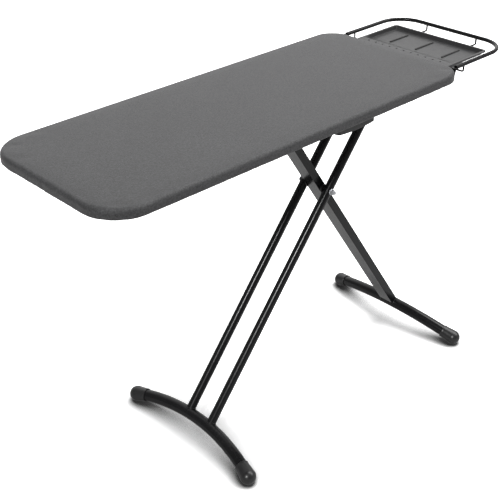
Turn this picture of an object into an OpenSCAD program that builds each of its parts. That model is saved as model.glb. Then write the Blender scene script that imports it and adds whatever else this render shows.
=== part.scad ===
// Folding ironing board with a twin round leg, a box-section leg and an iron rest.
// Millimetres. X runs from the nose to the iron rest, Y across, Z up from the floor.
// Lengths along X are first measured from the nose edge, then centred as a whole.

/* [Board] */
// Height of the ironing surface above the floor
board_h = 900; // [750:1:1080]
// Length of the padded board from nose to tail
board_len = 1112; // [925:1:1340]
// Width of the padded board
board_w = 462; // [425:1:560]
// Thickness of the padded edge
edge_t = 26; // [24:0.5:32]
// Rounding of the padded edge
edge_r = 11; // [9:0.5:12]
// Rounding of the cover's lower edge
hem_r = 3.5; // [3:0.5:4.5]
// Corner radius at the nose end
nose_r = 94; // [60:1:115]
// Corner radius at the tail end
tail_r = 66; // [55:1:80]
// Thickness of the cover cloth
cover_t = 1.5; // [1:0.1:2]
// Width of the hem turned under the board
hem_w = 30; // [25:1:31]
// Thickness of the pad
pad_t = 8; // [6:0.5:9.5]
// Thickness of the steel top plate
plate_t = 1.2; // [0.8:0.1:2]
// Wall of the rolled edge frame
frame_t = 1.5; // [1:0.1:2]
// Width of the edge frame's inner lip
lip_w = 30; // [29:1:36]

/* [Legs] */
// Distance from the tail edge to the top pivot of the round legs
pivot_setback = 86; // [72:1:104]
// Depth of both top pins below the ironing surface
pivot_drop = 44; // [42:0.5:50]
// Height of the top pins above the centre bolt
cross_drop = 262; // [218:1:292]
// Slope of the round legs from the floor
round_angle = 51.2; // [48:0.1:56]
// Slope of the box leg from the floor
box_angle = 56.4; // [52:0.1:61]
// Diameter of the round leg tubes
leg_d = 24.2; // [20:0.1:26]
// Wall of all leg tubes
leg_wall = 1.5; // [1:0.1:2]
// Distance between the axes of the round leg tubes
leg_gap = 83; // [80:0.5:86]
// Width of the box leg across the board
box_w = 47.5; // [40:0.5:50]
// Depth of the box leg
box_d = 23; // [18:0.5:26]
// Length of a leg past its top pin
leg_over = 14; // [12:0.5:16]

/* [Feet] */
// Diameter of the arched foot tubes
foot_d = 33; // [28:0.5:36]
// Distance between the ball centres of a foot
foot_span = 456; // [380:1:547]
// Height of the nose foot's arch
nose_arch = 26; // [22:0.5:31]
// How far the nose foot's ends lie ahead of its arch
nose_reach = 34; // [28:0.5:41]
// Height of the rear foot's arch
rear_arch = 38; // [32:0.5:45]
// How far the rear foot's ends lie behind its arch
rear_reach = 26; // [21:0.5:31]
// Ball radius of the end caps
cap_r = 21.5; // [20:0.5:25]
// Length of an end cap's sleeve
cap_len = 36; // [30:0.5:43]
// Depth of the flat worn on each cap
sole_cut = 0.6; // [0.3:0.1:1]

/* [Pins and bolts] */
// Diameter of the pivot rod and of the sliding cross pin
pin_d = 10; // [8:0.5:12]
// Diameter of the centre bolt
bolt_d = 8; // [6:0.5:10]
// Radial clearance of a turning fit
fit = 0.08; // [0.02:0.01:0.1]
// Gap left between parts that move past each other
gap = 0.4; // [0.3:0.1:0.8]

/* [Guide rails] */
// Diameter of the glide rings on the cross pin
glide_d = 18; // [15:0.5:21]
// Width of a glide ring
glide_w = 10; // [8:0.5:12]
// Room above and below a glide ring in its rail
glide_room = 4; // [3.5:0.5:5]
// Steel thickness of rails and brackets
sheet_t = 2; // [1.6:0.1:2.5]
// Length of a guide rail
rail_len = 345; // [320:1:380]

/* [Height lever] */
// Distance from the cross pin to the lever rod
lever_ahead = 149; // [124:1:178]
// Depth of the lever rod below the ironing surface
lever_drop = 33.5; // [33:0.5:36]
// Diameter of the lever rod
lever_d = 8; // [7:0.5:9]
// Length of the grip
grip_len = 130; // [108:1:140]
// Width of the grip
grip_w = 22; // [18:0.5:26]
// Distance of the grip's middle in from the board's edge
grip_inset = 22; // [18:1:26]
// Clearance of the raised comb above the cross pin
comb_over = 3.2; // [3:0.1:4]
// Depth of a height notch
notch_deep = 7.5; // [7:0.1:9]
// Number of height notches
notch_count = 7; // [3:1:7]
// Distance between height notches
notch_pitch = 33; // [27:1:36]

/* [Iron rest] */
// Length of the tray behind the tail edge
tray_len = 198; // [165:1:237]
// Width of the tray over its rim
tray_w = 316; // [263:1:340]
// Thickness of the tray sheet
tray_t = 1.2; // [0.8:0.1:1.8]
// Depth of the tray's deck below the ironing surface
deck_drop = 17; // [15:0.5:18]
// Depth of the tray's floor below the ironing surface
floor_drop = 26.8; // [26.5:0.1:30]
// Depth of the lip folded down round the tray
lip_h = 4; // [3:0.5:6]
// Width of the tray's rim
rim_w = 6; // [5:0.5:9]
// Diameter of the holes along the deck
vent_d = 5; // [4:0.5:6]
// Number of holes along the deck
vent_count = 11; // [7:2:11]
// Distance between the holes along the deck
vent_pitch = 24.5; // [20:0.5:25.5]
// Distance from the heat-proof strips to the outer end of the rest's basin
strip_end = 24; // [18:1:36]
// Distance between the heat-proof strips
strip_pitch = 89; // [74:1:100]

/* [Guard rail] */
// Diameter of the guard rail
guard_d = 11; // [9:0.5:13]
// Distance between the guard rail's long sides
guard_w = 375; // [355:1:390]
// Distance from the tail edge to the guard rail's end run
guard_len = 249; // [225:1:298]
// Corner radius of the guard rail
guard_r = 75; // [55:1:90]
// Depth of the guard rail below the ironing surface
guard_drop = 10.5; // [9:0.5:12]
// Diameter of the wire struts
strut_d = 5; // [4:0.5:6]

/* [Hidden] */
$fn = 64;

overall_len = board_len + guard_len + guard_d / 2;

// Levels of the board's layers
pad_top = board_h - cover_t;
plate_top = pad_top - pad_t;
plate_z = plate_top - plate_t;
under_z = board_h - edge_t;
lip_z = under_z + cover_t + 0.2;
skin_gap = 0.7;
frame_in = cover_t + skin_gap;

// Leg linkage: P is the round legs' pivot, Q the sliding cross pin, K the centre bolt
pin_z = board_h - pivot_drop;
cross_z = pin_z - cross_drop;
pivot_x = board_len - pivot_setback;
cross_x = pivot_x - cross_drop / tan(round_angle);
slide_x = cross_x - cross_drop / tan(box_angle);
cap_z = cap_r - sole_cut;
nose_apex_z = cap_z + nose_arch;
nose_apex_x = cross_x - (cross_z - nose_apex_z) / tan(round_angle);
rear_apex_z = cap_z + rear_arch;
rear_apex_x = cross_x + (cross_z - rear_apex_z) / tan(box_angle);
leg_y = leg_gap / 2;
tube_in = leg_y - leg_d / 2;
tube_out = leg_y + leg_d / 2;

// Guide rails stand outside the round legs
glide_in = tube_out + 4.5;
glide_out = glide_in + glide_w;
web_y = glide_out + 1;
slot_h = glide_d + 2 * glide_room;
rail_tail = slide_x + glide_d / 2 + 32;
rail_flange = 16;
bracket_y = tube_out + 4;

// Lever and comb
lever_x = slide_x + lever_ahead;
lever_z = board_h - lever_drop;
grip_y = -(board_w / 2 - grip_inset);
comb_y = -(box_w / 2 + 14);
comb_t = 3;
tooth_z = pin_z + pin_d / 2 + comb_over;
comb_top = tooth_z + notch_deep + 5.5;
comb_nose = slide_x - (notch_count - 1) * notch_pitch - 12;

// Iron rest
deck_z = board_h - deck_drop;
floor_z = board_h - floor_drop;
deck_x = board_len + 4;
vent_x = board_len + 37;
deck_end = vent_x + 9;
floor_x = deck_end + 32;
tray_x = board_len + tray_len;
basin_w = tray_w - 2 * rim_w;
flange_z = under_z - tray_t - 0.2;
basin_r = 5;
collar_h = 2;
strip_x = floor_x + 10;
strip_len = tray_x - rim_w - strip_end - strip_x;
strip_t = 2;
strip_w = 5;
guard_y = guard_w / 2;
guard_z = board_h - guard_drop;
guard_x = board_len + guard_len;
guard_start = board_len + 16;
strut_x = board_len + 51;
strut_y = 85;
tab_hole_x = board_len - 24;
tray_hole_x = board_len - 14;
tray_hole_y = 95;
screw_d = 4.8;

// ---- Shared shapes ----

module at_centre() {
    translate([-overall_len / 2, 0, 0]) children();
}

// Outline of the board moved in by i
module board_outline(i) {
    half = board_w / 2;
    for (s = [-1, 1]) {
        translate([nose_r, s * (half - nose_r)]) circle(nose_r - i, $fn = 96);
        translate([board_len - tail_r, s * (half - tail_r)]) circle(tail_r - i, $fn = 96);
    }
    polygon([[nose_r, i - half], [board_len - tail_r, i - half],
        [board_len - i, tail_r - half], [board_len - i, half - tail_r],
        [board_len - tail_r, half - i], [nose_r, half - i],
        [i, half - nose_r], [i, nose_r - half]]);
}

// Quarter-round points of radius r about (cx, cy), from angle a0 to a1
function arc_points(cx, cy, r, a0, a1, n = 5) =
    [for (k = [0:n]) let (a = a0 + (a1 - a0) * k / n) [cx + r * cos(a), cy + r * sin(a)]];

// Disc with its top face at Z = 0 and rounded rims
module puck(rad, t, top_r, low_r) {
    rotate_extrude($fn = 48) polygon(concat([[0, -t], [rad - low_r, -t]],
        arc_points(rad - low_r, low_r - t, low_r, -75, 0),
        arc_points(rad - top_r, -top_r, top_r, 0, 90), [[0, 0]]));
}

// Rounded slab that follows the board's outline, moved in by i
module board_slab(i, top, t, top_r, low_r) {
    hull() {
        for (s = [-1, 1]) {
            translate([nose_r, s * (board_w / 2 - nose_r), top])
                puck(nose_r - i, t, top_r, low_r);
            translate([board_len - tail_r, s * (board_w / 2 - tail_r), top])
                puck(tail_r - i, t, top_r, low_r);
        }
    }
}

// Cylinder along Y from y0 to y1, centred on (x, z)
module y_rod(x, z, y0, y1, d) {
    translate([x, y1, z]) rotate([90, 0, 0]) cylinder(h = y1 - y0, d = d);
}

// Ring along Y
module y_ring(x, z, y0, y1, d, bore) {
    difference() {
        y_rod(x, z, y0, y1, d);
        y_rod(x, z, y0 - 1, y1 + 1, bore);
    }
}

// Shape drawn in X and Z, extruded along Y from y0 to y1
module y_plate(y0, y1) {
    translate([0, y1, 0]) rotate([90, 0, 0]) linear_extrude(y1 - y0) children();
}

// Wire that drops from (0, 0, 0), bends with radius r and runs towards +X
module drop_wire(drop, run, r, d) {
    translate([0, 0, r - drop]) cylinder(h = drop - r, d = d);
    translate([r, 0, r - drop]) rotate([90, 0, 0]) rotate([0, 0, 180])
        rotate_extrude(angle = 90) translate([r, 0]) circle(d = d);
    translate([r, 0, -drop]) rotate([0, 90, 0]) cylinder(h = run - r, d = d);
}

// Strip of thickness t along a list of points in a plane
module strip_path(points, t) {
    for (k = [0:len(points) - 2]) {
        a = points[k];
        v = points[k + 1] - a;
        translate(a) rotate(atan2(v.y, v.x)) translate([0, -t / 2]) square([norm(v), t]);
    }
    for (k = [1:len(points) - 2]) translate(points[k]) circle(d = t, $fn = 32);
}

// Screw from below: pan head and shank up to length h
module screw_up(x, y, z, h) {
    translate([x, y, z]) cylinder(h = h, d = screw_d, $fn = 32);
    translate([x, y, z - 2.4]) cylinder(h = 2.4, d1 = 6, d2 = 9.4, $fn = 32);
}

// ---- Board ----

module cover() {
    color("dimgray") at_centre() difference() {
        board_slab(0, board_h, edge_t, edge_r, hem_r);
        board_slab(cover_t, board_h - cover_t, edge_t - 2 * cover_t,
            edge_r - cover_t, hem_r - cover_t);
        translate([0, 0, under_z - 1]) linear_extrude(cover_t + 2) board_outline(hem_w);
        for (s = [-1, 0, 1]) translate([tray_hole_x, s * tray_hole_y, under_z - 1])
            cylinder(h = cover_t + 2, d = screw_d + 2, $fn = 24);
        for (s = [-1, 1]) translate([tab_hole_x, s * guard_y, under_z - 1])
            cylinder(h = cover_t + 2, d = screw_d + 2, $fn = 24);
    }
}

module pad() {
    color("gainsboro") at_centre()
        board_slab(cover_t + 2, pad_top, pad_t, min(pad_t - 0.5, edge_r - cover_t - 1), 0.2);
}

// Steam holes skip the band that carries the leg fittings and the ribs
module steam_holes() {
    step = 44;
    clear_y = web_y + rail_flange + 10;
    for (x = [40 : step : board_len - 40], y = [clear_y : step : board_w / 2 - 30], s = [-1, 1])
        if (abs(x - rib_nose_x) > 24 && abs(x - rib_tail_x) > 24) translate([x, s * y])
            circle(d = 12, $fn = 24);
}

module top_plate() {
    color("darkgray") at_centre() translate([0, 0, plate_z]) linear_extrude(plate_t)
        difference() {
            board_outline(frame_in);
            steam_holes();
        }
}

// Ring between insets i0 and i1 of the board's outline, from z0 to z1
module outline_ring(i0, i1, z0, z1) {
    translate([0, 0, z0]) linear_extrude(z1 - z0) difference() {
        board_outline(i0);
        board_outline(i1);
    }
}

// Rolled steel edge: wall, rounded corner in steps, and a lip turned in
module edge_frame() {
    step = 0.6 * (hem_r - cover_t);
    wall_in = frame_in + frame_t;
    color("gray") at_centre() difference() {
        union() {
            outline_ring(frame_in, wall_in, lip_z + step, plate_z);
            outline_ring(frame_in + 0.45 * step, wall_in + step,
                lip_z + 0.4 * step, lip_z + step + 0.6);
            outline_ring(frame_in + step, frame_in + lip_w, lip_z, lip_z + frame_t);
        }
        for (s = [-1, 0, 1]) translate([tray_hole_x, s * tray_hole_y, lip_z - 1])
            cylinder(h = frame_t + 2, d = screw_d + 0.2);
        for (s = [-1, 1]) translate([tab_hole_x, s * guard_y, lip_z - 1])
            cylinder(h = frame_t + 2, d = screw_d + 0.2);
    }
}

rib_w = 32;
rib_h = plate_z - lip_z - 3;
rib_nose_x = 190;
rib_tail_x = lever_x + 95;

// Top-hat stiffener across the underside
module cross_rib(x) {
    half = board_w / 2 - frame_in - frame_t - 3;
    t = plate_t;
    color("gray") at_centre() y_plate(-half, half) {
        translate([x - rib_w / 2, plate_z - t]) square([8, t]);
        translate([x + rib_w / 2 - 8, plate_z - t]) square([8, t]);
        translate([x - rib_w / 2 + 8 - t, plate_z - rib_h]) square([t, rib_h]);
        translate([x + rib_w / 2 - 8, plate_z - rib_h]) square([t, rib_h]);
        translate([x - rib_w / 2 + 8 - t, plate_z - rib_h]) square([rib_w - 16 + 2 * t, t]);
    }
}

// Channel that carries one end of the cross pin
module guide_rail(s) {
    t = sheet_t;
    low = pin_z - slot_h / 2 - t;
    flange_x = glide_in - 1;
    color("silver") at_centre() translate([rail_tail - rail_len, 0, 0]) rotate([90, 0, 90])
        linear_extrude(rail_len) scale_side(s) {
            translate([web_y, low]) square([t, plate_z - low]);
            translate([flange_x, low]) square([web_y - flange_x + t, t]);
            translate([flange_x, low + slot_h + t]) square([web_y - flange_x + t, t]);
            translate([web_y, plate_z - t]) square([rail_flange + t, t]);
        }
}

// Mirrors a shape to the near side when s is -1
module scale_side(s) {
    if (s < 0) mirror([1, 0, 0]) children();
    else children();
}

module pivot_bracket(s) {
    t = sheet_t;
    y0 = s > 0 ? bracket_y : -bracket_y - t;
    foot_y = s > 0 ? bracket_y : -bracket_y - rail_flange - t;
    ear = pin_d / 2 + 8;
    color("silver") at_centre() difference() {
        union() {
            y_plate(y0, y0 + t) {
                translate([pivot_x, pin_z]) circle(ear);
                translate([pivot_x - ear, pin_z]) square([2 * ear, plate_z - pin_z]);
            }
            translate([pivot_x - ear, foot_y, plate_z - t]) cube([2 * ear, rail_flange + t, t]);
        }
        y_rod(pivot_x, pin_z, -bracket_y - 10, bracket_y + 10, pin_d + 0.1);
    }
}

// Rivet heads under the flanges of rails, brackets and ribs
module plate_rivets() {
    z = plate_z - sheet_t;
    color("silver") at_centre() for (s = [-1, 1]) {
        for (k = [0:4]) rivet(rail_tail - rail_len + 20 + k * (rail_len - 40) / 4,
            s * (web_y + sheet_t + rail_flange / 2), z);
        for (d = [-7, 7]) rivet(pivot_x + d, s * (bracket_y + sheet_t + rail_flange / 2), z);
    }
}

module rivet(x, y, z) {
    translate([x, y, z - 2]) cylinder(h = 2, d1 = 4.5, d2 = 7, $fn = 32);
}

// ---- Top pivot ----

module pivot_rod() {
    color("silver") at_centre() y_rod(pivot_x, pin_z, -bracket_y - 8, bracket_y + 8, pin_d);
}

module pivot_caps() {
    y0 = bracket_y + sheet_t + 0.2;
    color("silver") at_centre() for (s = [-1, 1]) scale_y(s) {
        y_ring(pivot_x, pin_z, y0, y0 + 3.5, 2 * pin_d - 2, pin_d + 0.1);
    }
}

module scale_y(s) {
    if (s < 0) mirror([0, 1, 0]) children();
    else children();
}

module pivot_spacer() {
    color("black") at_centre()
        y_ring(pivot_x, pin_z, gap - tube_in, tube_in - gap, pin_d + 5, pin_d + 0.1);
}

module pivot_washers() {
    color("black") at_centre() for (s = [-1, 1]) scale_y(s)
        y_ring(pivot_x, pin_z, tube_out + gap, bracket_y - 0.1, pin_d + 9, pin_d + 0.1);
}

// ---- Round legs ----

module round_leg(s) {
    above = cross_drop / sin(round_angle);
    below = (cross_z - nose_apex_z) / sin(round_angle);
    color("black") at_centre() difference() {
        translate([cross_x, s * leg_y, cross_z]) rotate([0, 90 - round_angle, 0]) difference() {
            translate([0, 0, -below]) cylinder(h = above + leg_over + below, d = leg_d);
            translate([0, 0, -below - 1])
                cylinder(h = above + leg_over + below + 2, d = leg_d - 2 * leg_wall);
        }
        foot_arc(nose_apex_x, nose_apex_z, nose_angle, nose_rad, foot_d + 0.1);
        y_rod(pivot_x, pin_z, s * leg_y - leg_d, s * leg_y + leg_d, pin_d + 2 * fit);
        y_rod(cross_x, cross_z, s * leg_y - leg_d, s * leg_y + leg_d, bolt_d + 0.2);
    }
}

// Plastic plugs in the open top ends of the round legs
module leg_plugs() {
    top = cross_drop / sin(round_angle) + leg_over;
    color("black") at_centre() for (s = [-1, 1])
        translate([cross_x, s * leg_y, cross_z]) rotate([0, 90 - round_angle, 0]) {
            translate([0, 0, top - 5]) cylinder(h = 5, d = leg_d - 2 * leg_wall - 0.2);
            translate([0, 0, top - 0.1]) cylinder(h = 0.2, d = leg_d - 2 * leg_wall - 0.2);
            translate([0, 0, top + 0.1]) cylinder(h = 2, d = leg_d);
        }
}

// ---- Feet ----

nose_sag = norm([nose_reach, nose_arch]);
nose_angle = atan2(nose_arch, nose_reach);
nose_rad = (pow(foot_span / 2, 2) + pow(nose_sag, 2)) / (2 * nose_sag);
rear_sag = norm([rear_reach, rear_arch]);
rear_angle = 180 - atan2(rear_arch, rear_reach);
rear_rad = (pow(foot_span / 2, 2) + pow(rear_sag, 2)) / (2 * rear_sag);

// Frame with +Z along the arch's rise and its origin at the arch's highest point
module foot_frame(x, z, angle) {
    translate([x, 0, z]) rotate([0, 90 - angle, 0]) children();
}

// Arc of round section, long enough to reach into both caps
module foot_arc(x, z, angle, rad, d) {
    half = asin(foot_span / 2 / rad) - 10 / rad * 180 / PI;
    foot_frame(x, z, angle) translate([0, 0, -rad]) rotate([90, 0, 90]) rotate([0, 0, 90 - half])
        rotate_extrude(angle = 2 * half, $fn = 200) translate([rad, 0]) circle(d = d, $fn = 48);
}

module foot_tube(x, z, angle, rad) {
    color("black") at_centre() difference() {
        foot_arc(x, z, angle, rad, foot_d);
        foot_arc(x, z, angle, rad, foot_d - 2 * leg_wall);
    }
}

// Moulded cap: flared sleeve that ends in a ball, with a flat at the floor
module foot_cap(x, z, angle, rad, s) {
    half = asin(foot_span / 2 / rad);
    mouth_r = foot_d / 2 + 2.4;
    color("dimgray") at_centre() intersection() {
        foot_frame(x, z, angle)
            translate([0, s * rad * sin(half), rad * cos(half) - rad])
            rotate([-s * (90 + half - asin(cap_len / 2 / rad)), 0, 0]) difference() {
                union() {
                    sphere(r = cap_r);
                    translate([0, 0, 4.5 - cap_len])
                        cylinder(h = cap_len - 4.5, r1 = mouth_r - 0.7, r2 = cap_r);
                    translate([0, 0, 0.6 - cap_len]) cylinder(h = 3.6, r = mouth_r);
                    translate([0, 0, -cap_len]) cylinder(h = 0.6, r1 = mouth_r - 0.6, r2 = mouth_r);
                    translate([0, 0, 4.2 - cap_len])
                        cylinder(h = 0.6, r1 = mouth_r, r2 = mouth_r - 0.7);
                }
                translate([0, 0, -cap_len - 1])
                    cylinder(h = cap_len - 8, d = foot_d + 1.2);
            }
        translate([0, -foot_span, 0]) cube([2 * board_len, 2 * foot_span, 4 * cap_r]);
    }
}

// ---- Centre bolt ----

bolt_seat = tube_out + 0.2;
washer_t = 1.6;

module centre_bolt() {
    head_y = bolt_seat + washer_t;
    color("silver") at_centre() {
        y_rod(cross_x, cross_z, -head_y - 13, head_y + 0.1, bolt_d);
        y_rod(cross_x, cross_z, head_y, head_y + 2.2, bolt_d + 6);
        translate([cross_x, head_y + 2.2, cross_z]) rotate([-90, 0, 0])
            cylinder(h = 1.8, d1 = bolt_d + 6, d2 = bolt_d + 1);
    }
}

module centre_nut() {
    nut_y = -bolt_seat - washer_t;
    color("silver") at_centre() difference() {
        union() {
            translate([cross_x, nut_y, cross_z]) rotate([90, 0, 0])
                cylinder(h = 6, d = bolt_d + 7, $fn = 6);
            y_rod(cross_x, cross_z, nut_y - 8.5, nut_y - 6, bolt_d + 4);
        }
        y_rod(cross_x, cross_z, nut_y - 20, nut_y + 1, bolt_d + 0.1);
    }
}

module centre_washers() {
    color("silver") at_centre() for (s = [-1, 1]) scale_y(s)
        y_ring(cross_x, cross_z, bolt_seat, bolt_seat + washer_t, bolt_d + 9, bolt_d + 0.2);
}

// Plastic spacer that holds the box leg midway between the round legs
module spacer(s) {
    color("black") at_centre() scale_y(s) {
        y_ring(cross_x, cross_z, box_w / 2, tube_in - gap, bolt_d + 16, bolt_d + 2 * fit);
    }
}

module centre_sleeve() {
    color("black") at_centre()
        y_ring(cross_x, cross_z, -box_w / 2, box_w / 2, bolt_d + 4, bolt_d + 2 * fit);
}

// ---- Box leg ----

module box_leg() {
    above = cross_drop / sin(box_angle);
    below = (cross_z - rear_apex_z) / sin(box_angle);
    inner_w = box_w - 2 * leg_wall;
    inner_d = box_d - 2 * leg_wall;
    color("black") at_centre() difference() {
        translate([cross_x, 0, cross_z]) rotate([0, box_angle - 90, 0]) difference() {
            translate([-box_d / 2, -box_w / 2, -below])
                cube([box_d, box_w, above + leg_over + below]);
            translate([-inner_d / 2, -inner_w / 2, -below - 1])
                cube([inner_d, inner_w, above + leg_over + below + 2]);
        }
        foot_arc(rear_apex_x, rear_apex_z, rear_angle, rear_rad, foot_d + 0.1);
        y_rod(slide_x, pin_z, -box_w, box_w, pin_d + 0.1);
        y_rod(cross_x, cross_z, -box_w, box_w, bolt_d + 4.2);
    }
}

module box_plug() {
    top = cross_drop / sin(box_angle) + leg_over;
    w = box_w - 2 * leg_wall - 0.2;
    d = box_d - 2 * leg_wall - 0.2;
    color("black") at_centre() translate([cross_x, 0, cross_z]) rotate([0, box_angle - 90, 0]) {
        translate([-d / 2, -w / 2, top - 5]) cube([d, w, 5]);
        translate([-d / 2, -w / 2, top - 0.1]) cube([d, w, 0.3]);
        translate([-box_d / 2, -box_w / 2, top + 0.1]) cube([box_d, box_w, 2]);
    }
}

module cross_pin() {
    color("silver") at_centre() y_rod(slide_x, pin_z, 0.4 - glide_out, glide_out - 0.4, pin_d);
}

module glide(s) {
    color("white") at_centre() scale_y(s)
        y_ring(slide_x, pin_z, glide_in, glide_out, glide_d, pin_d + 0.1);
}

// Clips that stop the glide rings from moving in
module glide_clips() {
    color("silver") at_centre() for (s = [-1, 1]) scale_y(s)
        y_ring(slide_x, pin_z, glide_in - 1.4, glide_in - 0.2, pin_d + 5, pin_d + 0.1);
}

// ---- Height lever ----

saddle_ys = [-board_w / 2 + 75, -25];

module lever_saddles() {
    t = sheet_t;
    r = lever_d / 2;
    color("silver") at_centre() for (y = saddle_ys) difference() {
        y_plate(y - 5, y + 5) {
            translate([lever_x, lever_z]) circle(r + t + 1);
            translate([lever_x - r - t - 1, lever_z])
                square([2 * (r + t + 1), plate_z - lever_z - t]);
            translate([lever_x - 15, plate_z - t]) square([30, t]);
        }
        y_rod(lever_x, lever_z, y - 6, y + 6, lever_d + 2 * fit);
    }
}

// Rod across the board, bent along the near edge inside the grip
module lever_rod() {
    inner = comb_y + comb_t + 30;
    bend = 12;
    color("silver") at_centre() {
        y_rod(lever_x, lever_z, grip_y + bend, inner, lever_d);
        translate([lever_x - bend, grip_y + bend, lever_z]) rotate([0, 0, -90])
            rotate_extrude(angle = 90) translate([bend, 0]) circle(d = lever_d);
        translate([lever_x - bend, grip_y, lever_z]) rotate([0, -90, 0])
            cylinder(h = grip_len, d = lever_d);
    }
}

// Paddle grip, thickest and lowest at its middle
module lever_grip() {
    top = lever_z + lever_d / 2 + 1;
    sag = 4.5;
    half = grip_len / 2;
    rad = (half * half + sag * sag) / (2 * sag);
    mid = lever_x - 14 - half;
    low = lever_z - lever_d / 2 - 1.5 - sag;
    color("black") at_centre() difference() {
        intersection() {
            translate([mid - half, grip_y - grip_w / 2, low - 2])
                rounded_block(grip_len, grip_w, top - low + 2, grip_w / 2 - 2);
            translate([mid, grip_y + grip_w, low + rad]) rotate([90, 0, 0])
                cylinder(h = 2 * grip_w, r = rad, $fn = 400);
        }
        translate([lever_x, grip_y, lever_z]) rotate([0, -90, 0])
            cylinder(h = 13 + grip_len - 0.5, d = lever_d + 0.1);
    }
}

// Block with its four upright corners rounded
module rounded_block(x, y, z, r) {
    linear_extrude(z) rounded_rect(x, y, r);
}

module rounded_rect(x, y, r) {
    translate([r, 0]) square([x - 2 * r, y]);
    translate([0, r]) square([x, y - 2 * r]);
    for (cx = [r, x - r], cy = [r, y - r]) translate([cx, cy]) circle(r);
}

// Notched bar over the cross pin, fixed to the lever rod
module lock_comb() {
    half = pin_d / 2 + 0.9;
    color("silver") at_centre() difference() {
        y_plate(comb_y, comb_y + comb_t) {
            translate([lever_x, lever_z]) circle(lever_d / 2 + 5);
            translate([comb_nose, tooth_z]) square([lever_x - comb_nose, comb_top - tooth_z]);
        }
        for (k = [0:notch_count - 1]) {
            x = slide_x - k * notch_pitch;
            y_rod(x, tooth_z + notch_deep - half, comb_y - 1, comb_y + comb_t + 1, 2 * half);
            translate([x - half, comb_y - 1, tooth_z - 1])
                cube([2 * half, comb_t + 2, notch_deep - half + 1]);
        }
        y_rod(lever_x, lever_z, comb_y - 1, comb_y + comb_t + 1, lever_d + 0.1);
    }
}

// Return spring wound round the lever rod
spring_turns = 6;
spring_pitch = 2.4;
spring_wire = 1.6;
spring_r = lever_d / 2 + 2;
spring_y = comb_y - 45;
spring_steps = 18;
spring_sides = 8;

function spring_ring(k) =
    let (a = 360 * k / spring_steps, y = spring_pitch * k / spring_steps)
    [for (j = [0:spring_sides - 1]) let (b = 360 * j / spring_sides,
        r = spring_r + spring_wire / 2 * cos(b))
        [r * cos(a), y + spring_wire / 2 * sin(b), r * sin(a)]];

module lever_spring() {
    n = spring_turns * spring_steps;
    m = spring_sides;
    points = [for (k = [0:n]) each spring_ring(k)];
    sides = [for (k = [0:n - 1], j = [0:m - 1])
        [k * m + j, k * m + (j + 1) % m, (k + 1) * m + (j + 1) % m, (k + 1) * m + j]];
    ends = [[for (j = [m - 1:-1:0]) j], [for (j = [0:m - 1]) n * m + j]];
    color("silver") at_centre() translate([lever_x, spring_y, lever_z])
        polyhedron(points, concat(sides, ends));
}

// ---- Iron rest ----

// Plan of the tray grown by g over its basin, with rounded outer corners
module tray_plan(x0, g) {
    r = basin_r + g;
    x1 = tray_x - rim_w + g;
    half = basin_w / 2 + g;
    translate([x0, -half]) square([x1 - r - x0, 2 * half]);
    translate([x0, r - half]) square([x1 - x0, 2 * half - 2 * r]);
    for (s = [-1, 1]) translate([x1 - r, s * (half - r)]) circle(r);
}

// The row of vents along the deck
module at_vents(z) {
    for (k = [0:vent_count - 1])
        translate([vent_x, (k - (vent_count - 1) / 2) * vent_pitch, z]) children();
}

// Pressed tray: flange under the tail, riser, vented deck, ramp and rimmed basin
module iron_tray() {
    t = tray_t;
    half = basin_w / 2;
    outer = tray_w / 2;
    flange_x = board_len - 28;
    color("dimgray") at_centre() difference() {
        union() {
            translate([flange_x, -half, flange_z]) cube([deck_x - flange_x, 2 * half, t]);
            translate([deck_x - t, -half, flange_z]) cube([t, 2 * half, deck_z - flange_z]);
            // Deck and rim
            translate([0, 0, deck_z - t]) linear_extrude(t) difference() {
                tray_plan(deck_x - t, rim_w);
                tray_plan(deck_end, -t / 2);
            }
            // Ramp down to the basin
            y_plate(-half, half) polygon([[deck_end - 0.5, deck_z], [deck_end, deck_z],
                [floor_x, floor_z], [floor_x, floor_z - t], [deck_end - 0.5, deck_z - t]]);
            translate([0, 0, floor_z - t]) linear_extrude(t) tray_plan(floor_x, 0);
            // Walls of the basin
            translate([0, 0, floor_z - t]) linear_extrude(deck_z - floor_z + t) difference() {
                tray_plan(floor_x, 0);
                tray_plan(floor_x - 1, -t);
            }
            for (s = [-1, 1]) scale_y(s) y_plate(half - t, half) polygon([
                [deck_end, deck_z], [floor_x + 1, deck_z], [floor_x + 1, floor_z - t],
                [floor_x, floor_z - t], [deck_end, deck_z - t]]);
            // Folded lip, deeper beside the deck where the struts are welded
            translate([0, 0, deck_z - lip_h]) linear_extrude(lip_h) difference() {
                tray_plan(deck_x, rim_w);
                tray_plan(deck_x - 1, rim_w - t);
            }
            for (s = [-1, 1]) scale_y(s) y_plate(outer - t, outer) polygon([
                [deck_x, deck_z - 1], [floor_x + 12, deck_z - 1], [floor_x + 12, deck_z - lip_h],
                [floor_x, floor_z - t], [deck_x, floor_z - t]]);
            // Drawn collars of the vents
            at_vents(deck_z - t - collar_h) cylinder(h = collar_h + t / 2, d = vent_d + 1.6, $fn = 32);
        }
        at_vents(deck_z - t - collar_h - 1) cylinder(h = t + collar_h + 2, d = vent_d, $fn = 32);
        for (s = [-1, 0, 1]) translate([tray_hole_x, s * tray_hole_y, flange_z - 1])
            cylinder(h = t + 2, d = screw_d + 0.2);
    }
}

module rest_strips() {
    color("black") at_centre() for (k = [-1:1])
        translate([strip_x, k * strip_pitch - strip_w / 2, floor_z])
            rounded_block(strip_len, strip_w, strip_t, strip_w / 2 - 0.1);
}

// ---- Guard rail ----

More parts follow.
